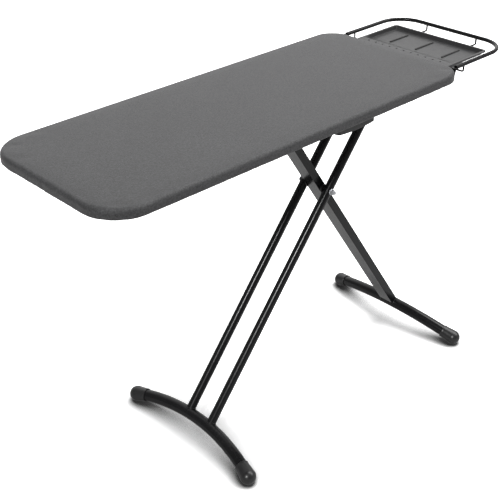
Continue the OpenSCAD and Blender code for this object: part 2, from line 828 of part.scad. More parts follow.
module guard_rail() {
    run = guard_x - guard_r - guard_start;
    color("black") at_centre() {
        for (s = [-1, 1]) {
            translate([guard_start, s * guard_y, guard_z]) rotate([0, 90, 0])
                cylinder(h = run, d = guard_d);
            translate([guard_x - guard_r, s * (guard_y - guard_r), guard_z])
                rotate([0, 0, s > 0 ? 0 : -90])
                rotate_extrude(angle = 90, $fn = 96) translate([guard_r, 0]) circle(d = guard_d);
        }
        y_rod(guard_x, guard_z, guard_r - guard_y, guard_y - guard_r, guard_d);
    }
}

// Wire struts from the guard rail down and in under the tray
strut_z = floor_z - tray_t - strut_d / 2 - 0.1;
strut_bend = 5;

module side_strut(s) {
    color("black") at_centre() scale_y(s) difference() {
        translate([strut_x, guard_y, guard_z]) rotate([0, 0, -90])
            drop_wire(guard_z - strut_z, guard_y - tray_w / 2 + 34, strut_bend, strut_d);
        translate([strut_x - 20, guard_y, guard_z]) rotate([0, 90, 0])
            cylinder(h = 40, d = guard_d);
    }
}

module end_strut(s) {
    color("black") at_centre() difference() {
        translate([guard_x, s * strut_y, guard_z]) rotate([0, 0, 180])
            drop_wire(guard_z - strut_z, guard_x - tray_x + rim_w + 28, strut_bend, strut_d);
        y_rod(guard_x, guard_z, s * strut_y - 20, s * strut_y + 20, guard_d);
    }
}

// Flattened end of the guard rail, bent down and screwed under the tail
module guard_tab(s) {
    t = 3;
    w = 15;
    low = under_z - t / 2 - 0.3;
    color("black") at_centre() difference() {
        y_plate(s * guard_y - w / 2, s * guard_y + w / 2)
            strip_path([[guard_start, guard_z - 1.5], [guard_start - 8, guard_z - 1.5],
                [guard_start - 13, low], [tab_hole_x - 9, low]], t);
        translate([tab_hole_x, s * guard_y, low - t]) cylinder(h = 2 * t, d = screw_d + 0.2);
    }
}

module tail_screws() {
    top = lip_z + frame_t + 3;
    tray_low = flange_z - 0.1;
    tab_low = under_z - 3.4;
    color("silver") at_centre() {
        for (s = [-1, 0, 1]) screw_up(tray_hole_x, s * tray_hole_y, tray_low, top - tray_low);
        for (s = [-1, 1]) screw_up(tab_hole_x, s * guard_y, tab_low, top - tab_low);
    }
}

cover();
pad();
top_plate();
edge_frame();
cross_rib(rib_nose_x);  // cross_rib_nose
cross_rib(rib_tail_x);  // cross_rib_tail
guide_rail(-1);  // guide_rail_near
guide_rail(1);  // guide_rail_far
pivot_bracket(-1);  // pivot_bracket_near
pivot_bracket(1);  // pivot_bracket_far
plate_rivets();
pivot_rod();
pivot_caps();
pivot_spacer();
pivot_washers();
lever_saddles();
lever_spring();
iron_tray();
rest_strips();
guard_rail();
side_strut(-1);  // strut_near
side_strut(1);  // strut_far
end_strut(-1);  // strut_end_near
end_strut(1);  // strut_end_far
guard_tab(-1);  // guard_tab_near
guard_tab(1);  // guard_tab_far
tail_screws();
round_leg(-1);  // round_leg_near
round_leg(1);  // round_leg_far
leg_plugs();
foot_tube(nose_apex_x, nose_apex_z, nose_angle, nose_rad);  // nose_foot
foot_cap(nose_apex_x, nose_apex_z, nose_angle, nose_rad, -1);  // nose_cap_near
foot_cap(nose_apex_x, nose_apex_z, nose_angle, nose_rad, 1);  // nose_cap_far
centre_bolt();
centre_nut();
centre_washers();
box_leg();
box_plug();
centre_sleeve();
spacer(-1);  // spacer_near
spacer(1);  // spacer_far
foot_tube(rear_apex_x, rear_apex_z, rear_angle, rear_rad);  // rear_foot
foot_cap(rear_apex_x, rear_apex_z, rear_angle, rear_rad, -1);  // rear_cap_near
foot_cap(rear_apex_x, rear_apex_z, rear_angle, rear_rad, 1);  // rear_cap_far
cross_pin();
glide(-1);  // glide_near
glide(1);  // glide_far
glide_clips();
lever_rod();
lever_grip();
lock_comb();
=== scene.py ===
"""Cloth cover, felt pad, pressed tray, welds, finishes and studio for a folding ironing board."""

import math

import bmesh
import bpy
from bpy.props import FloatProperty, FloatVectorProperty, IntProperty, PointerProperty
from bpy.types import Operator, Panel, PropertyGroup
from mathutils import Matrix, Vector, noise
from mathutils.geometry import delaunay_2d_cdt


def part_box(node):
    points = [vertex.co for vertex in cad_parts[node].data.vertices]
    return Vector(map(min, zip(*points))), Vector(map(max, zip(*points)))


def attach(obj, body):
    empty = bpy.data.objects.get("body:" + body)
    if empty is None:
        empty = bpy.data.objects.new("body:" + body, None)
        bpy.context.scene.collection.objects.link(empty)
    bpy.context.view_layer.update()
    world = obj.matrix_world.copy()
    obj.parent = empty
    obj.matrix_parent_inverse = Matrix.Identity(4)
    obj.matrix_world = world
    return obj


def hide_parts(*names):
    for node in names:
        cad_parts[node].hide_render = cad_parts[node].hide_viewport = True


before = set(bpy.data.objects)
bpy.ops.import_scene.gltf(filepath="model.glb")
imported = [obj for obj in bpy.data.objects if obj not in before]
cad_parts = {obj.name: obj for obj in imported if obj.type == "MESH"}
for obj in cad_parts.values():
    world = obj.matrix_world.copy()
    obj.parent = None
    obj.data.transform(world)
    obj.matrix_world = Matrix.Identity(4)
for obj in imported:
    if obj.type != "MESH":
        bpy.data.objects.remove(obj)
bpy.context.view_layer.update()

bl_info = {
    "name": "Ironing board",
    "version": (1, 0, 0),
    "blender": (4, 5, 0),
    "location": "View3D > Sidebar > Ironing board",
    "description": "Builds the cloth, steel and plastic of a folding ironing board",
    "category": "Object",
}

COVER_LOW, COVER_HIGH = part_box("cover")
PAD_LOW, PAD_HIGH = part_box("pad")
TRAY_LOW, TRAY_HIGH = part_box("iron_tray")

# How far the tray's upper face lies under the top of its solid
SKIN = 0.00002
# Points round a vent, and the distance between points along the tray's edges
VENT_STEPS = 20
TRAY_STEP = 0.004
# How far a weld bead's middle lies off the leg and off the foot
LEG_GAP = 0.0004
FOOT_GAP = 0.0003
# Distance from a foot's arch at which the search for its weld starts
WELD_START = 0.075


# ---- Sizes and colours that a user would change ----

def length(name, description, default):
    return FloatProperty(name=name, description=description, default=default, min=0.0,
                         unit="LENGTH", precision=4)


def colour(name, description, default):
    return FloatVectorProperty(name=name, description=description, default=default, size=3,
                               min=0.0, max=1.0, subtype="COLOR")


def slope(name, description, degrees):
    return FloatProperty(name=name, description=description, default=math.radians(degrees),
                         subtype="ANGLE")


def amount(name, description, default):
    return FloatProperty(name=name, description=description, default=default, min=0.0)


class ClothSizes(PropertyGroup):
    """Sizes of the cover and of the pad under it"""

    nose_radius: length("Nose corner", "Corner radius at the nose end", 0.094)
    tail_radius: length("Tail corner", "Corner radius at the tail end", 0.066)
    edge_radius: length("Edge rounding", "Rounding of the padded upper edge", 0.011)
    hem_radius: length("Lower rounding", "Rounding of the lower edge", 0.0035)
    hem_width: length("Hem width", "Width of the hem turned under the board", 0.030)
    thickness: length("Cloth thickness", "Thickness of the cover cloth", 0.0012)
    mesh_step: length("Mesh step", "Distance between points of the cloth before subdivision", 0.009)
    swell: length("Swell", "Most that the padding pushes the cloth out", 0.0012)
    pucker: length("Pucker", "Depth of the gathers along the lower edge", 0.0011)
    pressure: amount("Pressure", "Push of the padding on the cloth", 4.0)
    frames: IntProperty(name="Frames", description="Length of the cloth simulation",
                        default=20, min=2)


class TraySizes(PropertyGroup):
    """Sizes of the pressed iron rest"""

    sheet: length("Sheet", "Thickness of the tray sheet", 0.0012)
    rim: length("Rim", "Width of the rim round the basin", 0.006)
    corner: length("Basin corner", "Corner radius of the basin", 0.005)
    riser: length("Riser", "Distance from the tray's front flange to the deck", 0.032)
    vent_line: length("Vent line", "Distance from the front flange to the vents", 0.065)
    deck_end: length("Deck end", "Distance from the front flange to the ramp's top", 0.074)
    ramp_end: length("Ramp end", "Distance from the front flange to the ramp's foot", 0.106)
    depth: length("Basin depth", "Depth of the basin below the deck", 0.0098)
    lip: length("Lip", "Depth of the lip folded down round the tray", 0.004)
    vent: length("Vent", "Diameter of the vents along the deck", 0.005)
    vent_pitch: length("Vent pitch", "Distance between the vents", 0.0245)
    collar: length("Collar", "Depth of the collars drawn down round the vents", 0.0032)
    vent_count: IntProperty(name="Vents", description="Number of vents", default=11, min=1)


class LegSizes(PropertyGroup):
    """Sizes that place the weld beads on the feet"""

    cross: FloatVectorProperty(name="Centre bolt", description="Middle of the centre bolt",
                               default=(0.132090, 0.0, 0.594), size=3, unit="LENGTH")
    round_slope: slope("Round leg slope", "Slope from the floor", 51.2)
    box_slope: slope("Box leg slope", "Slope from the floor", 56.4)
    tube: length("Round tube", "Diameter of the round leg tubes", 0.0242)
    tube_gap: length("Tube gap", "Distance between the axes of the round tubes", 0.083)
    box_width: length("Box width", "Width of the box leg", 0.0475)
    box_depth: length("Box depth", "Depth of the box leg", 0.023)
    foot: length("Foot tube", "Diameter of the foot tubes", 0.033)
    span: length("Foot span", "Distance between the ball centres of a foot", 0.456)
    ball_height: length("Ball height", "Height of the ball centres above the floor", 0.0209)
    nose_arch: length("Nose arch", "Height of the nose foot's arch", 0.026)
    nose_reach: length("Nose reach", "How far the ends lie ahead of the arch", 0.034)
    rear_arch: length("Rear arch", "Height of the rear foot's arch", 0.038)
    rear_reach: length("Rear reach", "How far the ends lie behind the arch", 0.026)
    bead: length("Weld bead", "Radius of a weld bead", 0.0019)


class Finishes(PropertyGroup):
    """Colours of the cloth, paint and plastic"""

    cloth: colour("Cover cloth", "Heathered cotton of the cover", (0.042, 0.042, 0.0435))
    felt: colour("Felt", "Needled felt of the pad", (0.52, 0.50, 0.46))
    enamel: colour("Enamel", "Gloss black of the legs and the guard rail", (0.006, 0.006, 0.0065))
    rest_paint: colour("Rest paint", "Satin black of the iron rest", (0.030, 0.030, 0.031))
    board_paint: colour("Board paint", "Paint under the board", (0.26, 0.26, 0.27))
    zinc: colour("Zinc", "Plating of the fittings", (0.66, 0.67, 0.69))
    plastic: colour("Black plastic", "Moulded caps, grip and spacers", (0.010, 0.010, 0.0105))
    glide: colour("Glide nylon", "Natural nylon of the glide rings", (0.74, 0.72, 0.66))
    rubber: colour("Strip rubber", "Heat-proof strips on the iron rest", (0.018, 0.018, 0.018))


class Studio(PropertyGroup):
    """Camera, floor and lights"""

    eye: FloatVectorProperty(name="Camera", description="Place of the camera",
                             default=(-1.559578, -1.561456, 1.775404), size=3, unit="LENGTH")
    turn: slope("Turn", "Turn of the camera from +X towards +Y", 47.168)
    tilt: slope("Tilt", "Tilt of the camera down from level", 31.016)
    roll: slope("Roll", "Roll of the camera about its view", -0.803)
    lens: FloatProperty(name="Lens", description="Focal length on a 36 mm sensor",
                        default=69.64, min=1.0, subtype="DISTANCE_CAMERA")
    floor: colour("Floor", "Colour of the floor as it lights the board", (0.50, 0.50, 0.50))
    contact: length("Contact shade", "How far the floor's contact shade reaches", 0.11)
    floor_lift: amount("Floor lift", "Whiteness of the floor in the picture", 1.55)
    surround: amount("Surround", "Strength of the even surround light", 0.30)
    backdrop: amount("Backdrop", "Strength of the bright backdrop", 1.25)
    backdrop_aim: FloatVectorProperty(name="Backdrop aim", description="Where the backdrop is",
                                      default=(0.583, 0.629, 0.515), size=3)
    overhead: amount("Overhead", "Strength of the overhead softbox", 2.0)
    key: amount("Key", "Strength of the key light", 1.7)
    edge: amount("Edge", "Strength of the softbox along the near edge", 0.9)


GROUPS = {
    "board_cloth": ClothSizes,
    "board_tray": TraySizes,
    "board_legs": LegSizes,
    "board_finish": Finishes,
    "board_studio": Studio,
}


# ---- Node groups shared by the finishes ----

class Nodes:
    """A node tree with short ways to add and join nodes."""

    def __init__(self, tree):
        self.tree = tree

    def add(self, kind, settings=None, **inputs):
        node = self.tree.nodes.new(kind)
        for key, value in (settings or {}).items():
            setattr(node, key, value)
        for key, value in inputs.items():
            self.feed(node.inputs[key.replace("_", " ")], value)
        return node

    def feed(self, socket, value):
        if isinstance(value, bpy.types.NodeSocket):
            self.tree.links.new(value, socket)
        else:
            socket.default_value = value

    def math(self, operation, first, second=0.0, clamp=False):
        node = self.add("ShaderNodeMath", {"operation": operation, "use_clamp": clamp})
        self.feed(node.inputs[0], first)
        self.feed(node.inputs[1], second)
        return node.outputs[0]

    def mix(self, share, first, second, blend="MIX"):
        node = self.add("ShaderNodeMix", {"data_type": "RGBA", "blend_type": blend})
        self.feed(node.inputs[0], share)
        self.feed(node.inputs[6], first)
        self.feed(node.inputs[7], second)
        return node.outputs[2]

    def spread(self, value, low, high, out_low, out_high):
        node = self.add("ShaderNodeMapRange", {"clamp": True})
        for key, item in (("Value", value), ("From Min", low), ("From Max", high),
                          ("To Min", out_low), ("To Max", out_high)):
            self.feed(node.inputs[key], item)
        return node.outputs[0]

    def noise(self, place, scale, detail=2.0, rough=0.5):
        node = self.add("ShaderNodeTexNoise", Vector=place, Scale=scale, Detail=detail,
                        Roughness=rough)
        return node.outputs[0]

    def place(self):
        return self.add("ShaderNodeTexCoord").outputs["Object"]


def shared_group(name, inputs, outputs):
    """The group called name with its sockets and an open tree, or None if it is there already."""
    if name in bpy.data.node_groups:
        return None
    tree = bpy.data.node_groups.new(name, "ShaderNodeTree")
    for label, kind, default in inputs:
        socket = tree.interface.new_socket(label, in_out="INPUT", socket_type="NodeSocket" + kind)
        if default is not None:
            socket.default_value = default
    for label, kind in outputs:
        tree.interface.new_socket(label, in_out="OUTPUT", socket_type="NodeSocket" + kind)
    nodes = Nodes(tree)
    return nodes, nodes.add("NodeGroupInput").outputs, nodes.add("NodeGroupOutput").inputs


def edge_wear_group():
    """Mask of worn edges and a normal that softens them."""
    made = shared_group(
        "Worn edges",
        [("Radius", "Float", 0.0006), ("Strength", "Float", 1.0), ("Patch size", "Float", 60.0)],
        [("Mask", "Float"), ("Normal", "Vector")])
    if not made:
        return
    nodes, given, out = made
    soft = nodes.add("ShaderNodeBevel", {"samples": 4}, Radius=given["Radius"])
    flat = nodes.add("ShaderNodeNewGeometry").outputs["Normal"]
    dot = nodes.add("ShaderNodeVectorMath", {"operation": "DOT_PRODUCT"})
    nodes.feed(dot.inputs[0], soft.outputs[0])
    nodes.feed(dot.inputs[1], flat)
    bend = nodes.math("SUBTRACT", 1.0, dot.outputs["Value"])
    patch = nodes.spread(nodes.noise(nodes.place(), given["Patch size"], 3.0), 0.42, 0.68, 0.0, 1.0)
    worn = nodes.math("MULTIPLY", nodes.spread(bend, 0.02, 0.25, 0.0, 1.0), patch)
    nodes.feed(out["Mask"], nodes.math("MULTIPLY", worn, given["Strength"], clamp=True))
    nodes.feed(out["Normal"], soft.outputs[0])


def coat_texture_group():
    """Orange peel and fine grain of a sprayed or moulded surface."""
    made = shared_group(
        "Coat texture",
        [("Peel size", "Float", 420.0), ("Grain size", "Float", 2600.0), ("Grain", "Float", 0.3)],
        [("Height", "Float"), ("Tone", "Float")])
    if not made:
        return
    nodes, given, out = made
    place = nodes.place()
    peel = nodes.noise(place, given["Peel size"], 1.0)
    grain = nodes.noise(place, given["Grain size"], 2.0)
    height = nodes.math("ADD", peel, nodes.math("MULTIPLY", grain, given["Grain"]))
    nodes.feed(out["Height"], height)
    tone = nodes.math("ADD", nodes.math("MULTIPLY", nodes.noise(place, 9.0, 4.0, 0.6), 0.7),
                      nodes.math("MULTIPLY", nodes.noise(place, 70.0, 2.0), 0.3))
    nodes.feed(out["Tone"], tone)


def settled_dust_group():
    """Mask of light dust on what faces up."""
    made = shared_group("Settled dust", [("Amount", "Float", 0.2), ("Fleck size", "Float", 160.0)],
                        [("Mask", "Float")])
    if not made:
        return
    nodes, given, out = made
    up = nodes.add("ShaderNodeSeparateXYZ",
                   Vector=nodes.add("ShaderNodeNewGeometry").outputs["Normal"]).outputs["Z"]
    facing = nodes.spread(up, 0.45, 0.98, 0.0, 1.0)
    place = nodes.place()
    drift = nodes.spread(nodes.noise(place, 14.0, 4.0), 0.40, 0.72, 0.15, 1.0)
    fleck = nodes.spread(nodes.noise(place, given["Fleck size"], 3.0), 0.50, 0.70, 0.2, 1.0)
    mask = nodes.math("MULTIPLY", nodes.math("MULTIPLY", facing, drift), fleck)
    nodes.feed(out["Mask"], nodes.math("MULTIPLY", mask, given["Amount"], clamp=True))


def plain_weave_group():
    """Threads that cross over and under, with their relief, their colour variation and a mask for
    painted shade in their gaps.
    """
    made = shared_group(
        "Plain weave",
        [("Thread", "Float", 0.0007), ("Slub", "Float", 0.5)],
        [("Height", "Float"), ("Fleck", "Float"), ("Gap", "Float")])
    if not made:
        return
    nodes, given, out = made
    place = nodes.place()
    part = nodes.add("ShaderNodeSeparateXYZ", Vector=place).outputs
    waves = []
    for axis in ("X", "Y"):
        run = nodes.math("ADD", part[axis], part["Z"])
        wander = nodes.math("MULTIPLY", nodes.noise(place, 90.0, 1.0), 0.0006)
        turn = nodes.math("DIVIDE", nodes.math("ADD", run, wander), given["Thread"])
        waves.append(nodes.math("SINE", nodes.math("MULTIPLY", turn, math.pi)))
    crossing = nodes.math("MULTIPLY", waves[0], waves[1])
    height = nodes.math("ADD", nodes.math("MULTIPLY", crossing, 0.5), 0.5)
    nodes.feed(out["Height"], height)
    # Mask of where the threads part, used to paint shade into the cloth's colour there
    nodes.feed(out["Gap"], nodes.spread(nodes.math("ABSOLUTE", crossing), 0.0, 0.35, 1.0, 0.0))
    streaks = []
    for stretch in ((900.0, 90.0, 900.0), (90.0, 900.0, 900.0)):
        mapped = nodes.add("ShaderNodeVectorMath", {"operation": "MULTIPLY"})
        nodes.feed(mapped.inputs[0], place)
        nodes.feed(mapped.inputs[1], stretch)
        streaks.append(nodes.noise(mapped.outputs[0], 1.0, 2.0))
    yarn = nodes.math("MULTIPLY", nodes.math("ADD", streaks[0], streaks[1]), 0.5)
    heather = nodes.math("ADD", nodes.math("MULTIPLY", yarn, given["Slub"]),
                         nodes.math("MULTIPLY", nodes.noise(place, 520.0, 3.0, 0.7), 0.5))
    nodes.feed(out["Fleck"], heather)


# ---- Finishes ----

def blank_material(name):
    material = bpy.data.materials.new(name)
    material.use_nodes = True
    nodes = Nodes(material.node_tree)
    material.node_tree.nodes.clear()
    shader = nodes.add("ShaderNodeBsdfPrincipled")
    output = nodes.add("ShaderNodeOutputMaterial")
    nodes.feed(output.inputs["Surface"], shader.outputs[0])
    return material, nodes, shader.inputs


def use_group(nodes, name, **inputs):
    node = nodes.add("ShaderNodeGroup", {"node_tree": bpy.data.node_groups[name]})
    for key, value in inputs.items():
        nodes.feed(node.inputs[key.replace("_", " ")], value)
    return node.outputs


def tint(rgb, factor):
    return tuple(min(1.0, channel * factor) for channel in rgb) + (1.0,)


def coated(name, rgb, rough, peel=0.00006, peel_size=420.0, grain=0.3, wear=None, wear_amount=0.0,
           dust=0.12, metal=0.0, edge=0.0006, shine=0.5, spread=0.06, mottle=0.18):
    """Paint, powder coat, plating, rubber or moulded plastic."""
    material, nodes, shader = blank_material(name)
    texture = use_group(nodes, "Coat texture", Peel_size=peel_size, Grain=grain)
    edges = use_group(nodes, "Worn edges", Radius=edge, Strength=wear_amount)
    settled = use_group(nodes, "Settled dust", Amount=dust)
    tone = nodes.spread(texture["Tone"], 0.35, 0.65, 0.0, 1.0)
    base = nodes.mix(tone, tint(rgb, 1.0 - mottle), tint(rgb, 1.0 + mottle))
    if wear is not None:
        base = nodes.mix(edges["Mask"], base, tint(wear, 1.0))
    base = nodes.mix(settled["Mask"], base, (0.42, 0.41, 0.39, 1.0))
    nodes.feed(shader["Base Color"], base)
    roughness = nodes.spread(texture["Tone"], 0.3, 0.7, rough - spread, rough + spread)
    dulled = nodes.math("ADD", roughness, nodes.math("MULTIPLY", settled["Mask"], 0.5), clamp=True)
    nodes.feed(shader["Roughness"], dulled)
    shader["Metallic"].default_value = metal
    shader["Specular IOR Level"].default_value = shine
    bump = nodes.add("ShaderNodeBump", Strength=1.0, Distance=peel, Height=texture["Height"],
                     Normal=edges["Normal"])
    nodes.feed(shader["Normal"], bump.outputs[0])
    return material


def cover_cloth(finish):
    """Heathered cotton: crossing threads, painted shade in the gaps between them and soft flecks."""
    material, nodes, shader = blank_material("heathered_cotton")
    weave = use_group(nodes, "Plain weave", Thread=0.00075, Slub=0.55)
    fleck = nodes.spread(weave["Fleck"], 0.38, 0.66, 0.0, 1.0)
    base = nodes.mix(fleck, tint(finish.cloth, 0.62), tint(finish.cloth, 1.42))
    cloud = nodes.spread(nodes.noise(nodes.place(), 6.0, 4.0, 0.6), 0.35, 0.65, 0.94, 1.05)
    heather = nodes.spread(nodes.noise(nodes.place(), 240.0, 3.0, 0.7), 0.32, 0.68, 0.55, 1.45)
    cloud = nodes.math("MULTIPLY", cloud, heather)
    base = nodes.mix(1.0, base, nodes.add("ShaderNodeCombineColor", Red=cloud, Green=cloud,
                                          Blue=cloud).outputs[0], "MULTIPLY")
    # Painted shade: the cloth's colour is darkened in the gaps between the threads
    base = nodes.mix(nodes.math("MULTIPLY", weave["Gap"], 0.22), base, tint(finish.cloth, 0.45))
    nodes.feed(shader["Base Color"], base)
    nodes.feed(shader["Roughness"], nodes.spread(weave["Fleck"], 0.3, 0.7, 0.36, 0.48))
    shader["Sheen Weight"].default_value = 0.04
    shader["Sheen Roughness"].default_value = 0.45
    shader["Specular IOR Level"].default_value = 0.36
    slub = nodes.noise(nodes.place(), 260.0, 3.0, 0.6)
    first = nodes.add("ShaderNodeBump", Strength=0.8, Distance=0.0004, Height=slub)
    bump = nodes.add("ShaderNodeBump", Strength=0.7, Distance=0.00022, Height=weave["Height"],
                     Normal=first.outputs[0])
    nodes.feed(shader["Normal"], bump.outputs[0])
    return material


def needled_felt(finish):
    """Matted fibres with needle marks and coloured strays."""
    material, nodes, shader = blank_material("needled_felt")
    place = nodes.place()
    fibre = nodes.noise(place, 900.0, 4.0, 0.7)
    mat = nodes.noise(place, 160.0, 3.0, 0.6)
    base = nodes.mix(nodes.spread(fibre, 0.35, 0.65, 0.0, 1.0), tint(finish.felt, 0.72),
                     tint(finish.felt, 1.2))
    stray = nodes.spread(nodes.noise(place, 1500.0, 2.0), 0.66, 0.72, 0.0, 0.7)
    base = nodes.mix(stray, base, (0.10, 0.13, 0.20, 1.0))
    nodes.feed(shader["Base Color"], base)
    nodes.feed(shader["Roughness"], nodes.spread(mat, 0.3, 0.7, 0.86, 0.98))
    shader["Sheen Weight"].default_value = 0.4
    pricks = nodes.add("ShaderNodeTexVoronoi", Vector=place, Scale=330.0).outputs["Distance"]
    relief = nodes.math("ADD", nodes.math("MULTIPLY", mat, 0.6), nodes.math("MULTIPLY", pricks, 0.4))
    bump = nodes.add("ShaderNodeBump", Strength=0.9, Distance=0.0009, Height=relief)
    nodes.feed(shader["Normal"], bump.outputs[0])
    return material


def zinc_plating(finish, name="zinc_plating", rough=0.30):
    """Bright zinc with crystal patches, draw lines and a faint bloom."""
    material, nodes, shader = blank_material(name)
    place = nodes.place()
    crystal = nodes.add("ShaderNodeTexVoronoi", Vector=place, Scale=210.0).outputs["Color"]
    grey = nodes.add("ShaderNodeSeparateColor", Color=crystal).outputs["Red"]
    base = nodes.mix(grey, tint(finish.zinc, 0.82), tint(finish.zinc, 1.12))
    bloom = nodes.spread(nodes.noise(place, 45.0, 4.0, 0.6), 0.52, 0.75, 0.0, 0.5)
    base = nodes.mix(bloom, base, (0.52, 0.50, 0.45, 1.0))
    settled = use_group(nodes, "Settled dust", Amount=0.15)
    base = nodes.mix(settled["Mask"], base, (0.42, 0.41, 0.39, 1.0))
    nodes.feed(shader["Base Color"], base)
    patchy = nodes.spread(grey, 0.0, 1.0, rough - 0.07, rough + 0.08)
    nodes.feed(shader["Roughness"], nodes.math("ADD", patchy, nodes.math("MULTIPLY", bloom, 0.3)))
    shader["Metallic"].default_value = 1.0
    edges = use_group(nodes, "Worn edges", Radius=0.0005, Strength=0.0)
    lines = nodes.add("ShaderNodeVectorMath", {"operation": "MULTIPLY"})
    nodes.feed(lines.inputs[0], place)
    nodes.feed(lines.inputs[1], (120.0, 2400.0, 2400.0))
    bump = nodes.add("ShaderNodeBump", Strength=0.5, Distance=0.00003,
                     Height=nodes.noise(lines.outputs[0], 1.0, 2.0), Normal=edges["Normal"])
    nodes.feed(shader["Normal"], bump.outputs[0])
    return material


def make_finishes(finish):
    """Every finish of the board, by name."""
    edge_wear_group()
    coat_texture_group()
    settled_dust_group()
    plain_weave_group()
    steel = (0.42, 0.42, 0.43)
    return {
        "cloth": cover_cloth(finish),
        "felt": needled_felt(finish),
        "zinc": zinc_plating(finish),
        "enamel": coated("black_enamel", finish.enamel, 0.20, wear=steel, wear_amount=0.25,
                         dust=0.03, shine=0.24, spread=0.04),
        "rest": coated("satin_coat", finish.rest_paint, 0.34, peel=0.00008, peel_size=900.0,
                       grain=0.6, wear=(0.12, 0.12, 0.12), wear_amount=0.4, dust=0.03,
                       edge=0.0009, shine=0.45, mottle=0.10),
        "paint": coated("board_paint", finish.board_paint, 0.42, wear=steel, wear_amount=0.5,
                        dust=0.10),
        "caps": coated("moulded_cap", finish.plastic, 0.34, peel=0.00008, peel_size=900.0,
                       grain=0.8, wear=(0.06, 0.06, 0.06), wear_amount=0.6, dust=0.06),
        "grip": coated("moulded_grip", finish.plastic, 0.42, peel=0.00011, peel_size=1300.0,
                       grain=0.9, wear=(0.05, 0.05, 0.05), wear_amount=0.8, dust=0.05,
                       edge=0.0016),
        "nylon": coated("black_nylon", finish.plastic, 0.50, peel=0.00006, peel_size=700.0,
                        grain=0.6, dust=0.08),
        "glide": coated("natural_nylon", finish.glide, 0.38, peel=0.00005, peel_size=600.0,
                        dust=0.10, mottle=0.08),
        "rubber": coated("silicone_strip", finish.rubber, 0.62, peel=0.00008, peel_size=1100.0,
                         grain=0.9, dust=0.04),
        "weld": coated("enamelled_weld", finish.enamel, 0.28, peel=0.00035, peel_size=300.0,
                       grain=0.2, dust=0.03, shine=0.32),
    }


NODE_FINISH = {
    "paint": ["top_plate", "edge_frame", "cross_rib_nose", "cross_rib_tail"],
    "zinc": ["guide_rail_near", "guide_rail_far", "pivot_bracket_near", "pivot_bracket_far",
             "plate_rivets", "pivot_rod", "pivot_caps", "lever_saddles", "lever_spring",
             "tail_screws", "centre_bolt", "centre_nut", "centre_washers", "cross_pin",
             "glide_clips", "lever_rod", "lock_comb"],
    "nylon": ["pivot_spacer", "pivot_washers", "leg_plugs", "box_plug", "centre_sleeve",
              "spacer_near", "spacer_far"],
    "caps": ["nose_cap_near", "nose_cap_far", "rear_cap_near", "rear_cap_far"],
    "grip": ["lever_grip"],
    "glide": ["glide_near", "glide_far"],
    "rubber": ["rest_strips"],
    "enamel": ["guard_rail", "strut_near", "strut_far", "strut_end_near", "strut_end_far",
               "guard_tab_near", "guard_tab_far", "round_leg_near", "round_leg_far", "nose_foot",
               "box_leg", "rear_foot"],
}

FINISH = {}


# ---- Mesh helpers ----

def add_object(name, mesh, finish, body):
    """Links a finished mesh, and gives it its finish, body and material slot."""
    obj = bpy.data.objects.new(name, mesh)
    bpy.context.scene.collection.objects.link(obj)
    mesh.materials.clear()
    mesh.materials.append(FINISH[finish])
    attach(obj, body)
    return obj


def bake_modifiers(obj):
    """Replaces the object's mesh with its evaluated one."""
    graph = bpy.context.evaluated_depsgraph_get()
    baked = bpy.data.meshes.new_from_object(obj.evaluated_get(graph))
    obj.modifiers.clear()
    obj.data = baked
    return obj


def smooth(mesh):
    mesh.polygons.foreach_set("use_smooth", [True] * len(mesh.polygons))
    return mesh


def outline(inset, step, low, high, nose, tail):
    """Points of the board's outline moved in by inset, counter-clockwise, about step apart.
    The count depends on the full outline alone, so outlines of any inset match point to point."""
    points = []
    corners = [
        (low.x + nose, low.y + nose, nose, math.pi, 1.5 * math.pi),
        (high.x - tail, low.y + tail, tail, 1.5 * math.pi, 2.0 * math.pi),
        (high.x - tail, high.y - tail, tail, 0.0, 0.5 * math.pi),
        (low.x + nose, high.y - nose, nose, 0.5 * math.pi, math.pi),
    ]
    for index, (cx, cy, radius, start, end) in enumerate(corners):
        count = max(3, round(radius * (end - start) / step))
        arc = []
        for k in range(count + 1):
            angle = start + (end - start) * k / count
            arc.append((cx + (radius - inset) * math.cos(angle),
                        cy + (radius - inset) * math.sin(angle)))
        points.extend(arc)
        nx, ny, after, begin, _ = corners[(index + 1) % 4]
        target = (nx + (after - inset) * math.cos(begin), ny + (after - inset) * math.sin(begin))
        full = math.dist((cx + radius * math.cos(end), cy + radius * math.sin(end)),
                         (nx + after * math.cos(begin), ny + after * math.sin(begin)))
        between = max(1, round(full / step))
        for k in range(1, between):
            share = k / between
            points.append((arc[-1][0] + (target[0] - arc[-1][0]) * share,
                           arc[-1][1] + (target[1] - arc[-1][1]) * share))
    return points


def inset_of(x, y, low, high, nose, tail):
    """How far a point lies inside the board's outline."""
    radius = nose if x < low.x + nose else tail if x > high.x - tail else 0.0
    side = min(y - low.y, high.y - y)
    end = min(x - low.x, high.x - x)
    if radius and side < radius and end < radius:
        return radius - math.hypot(radius - side, radius - end)
    return min(side, end)


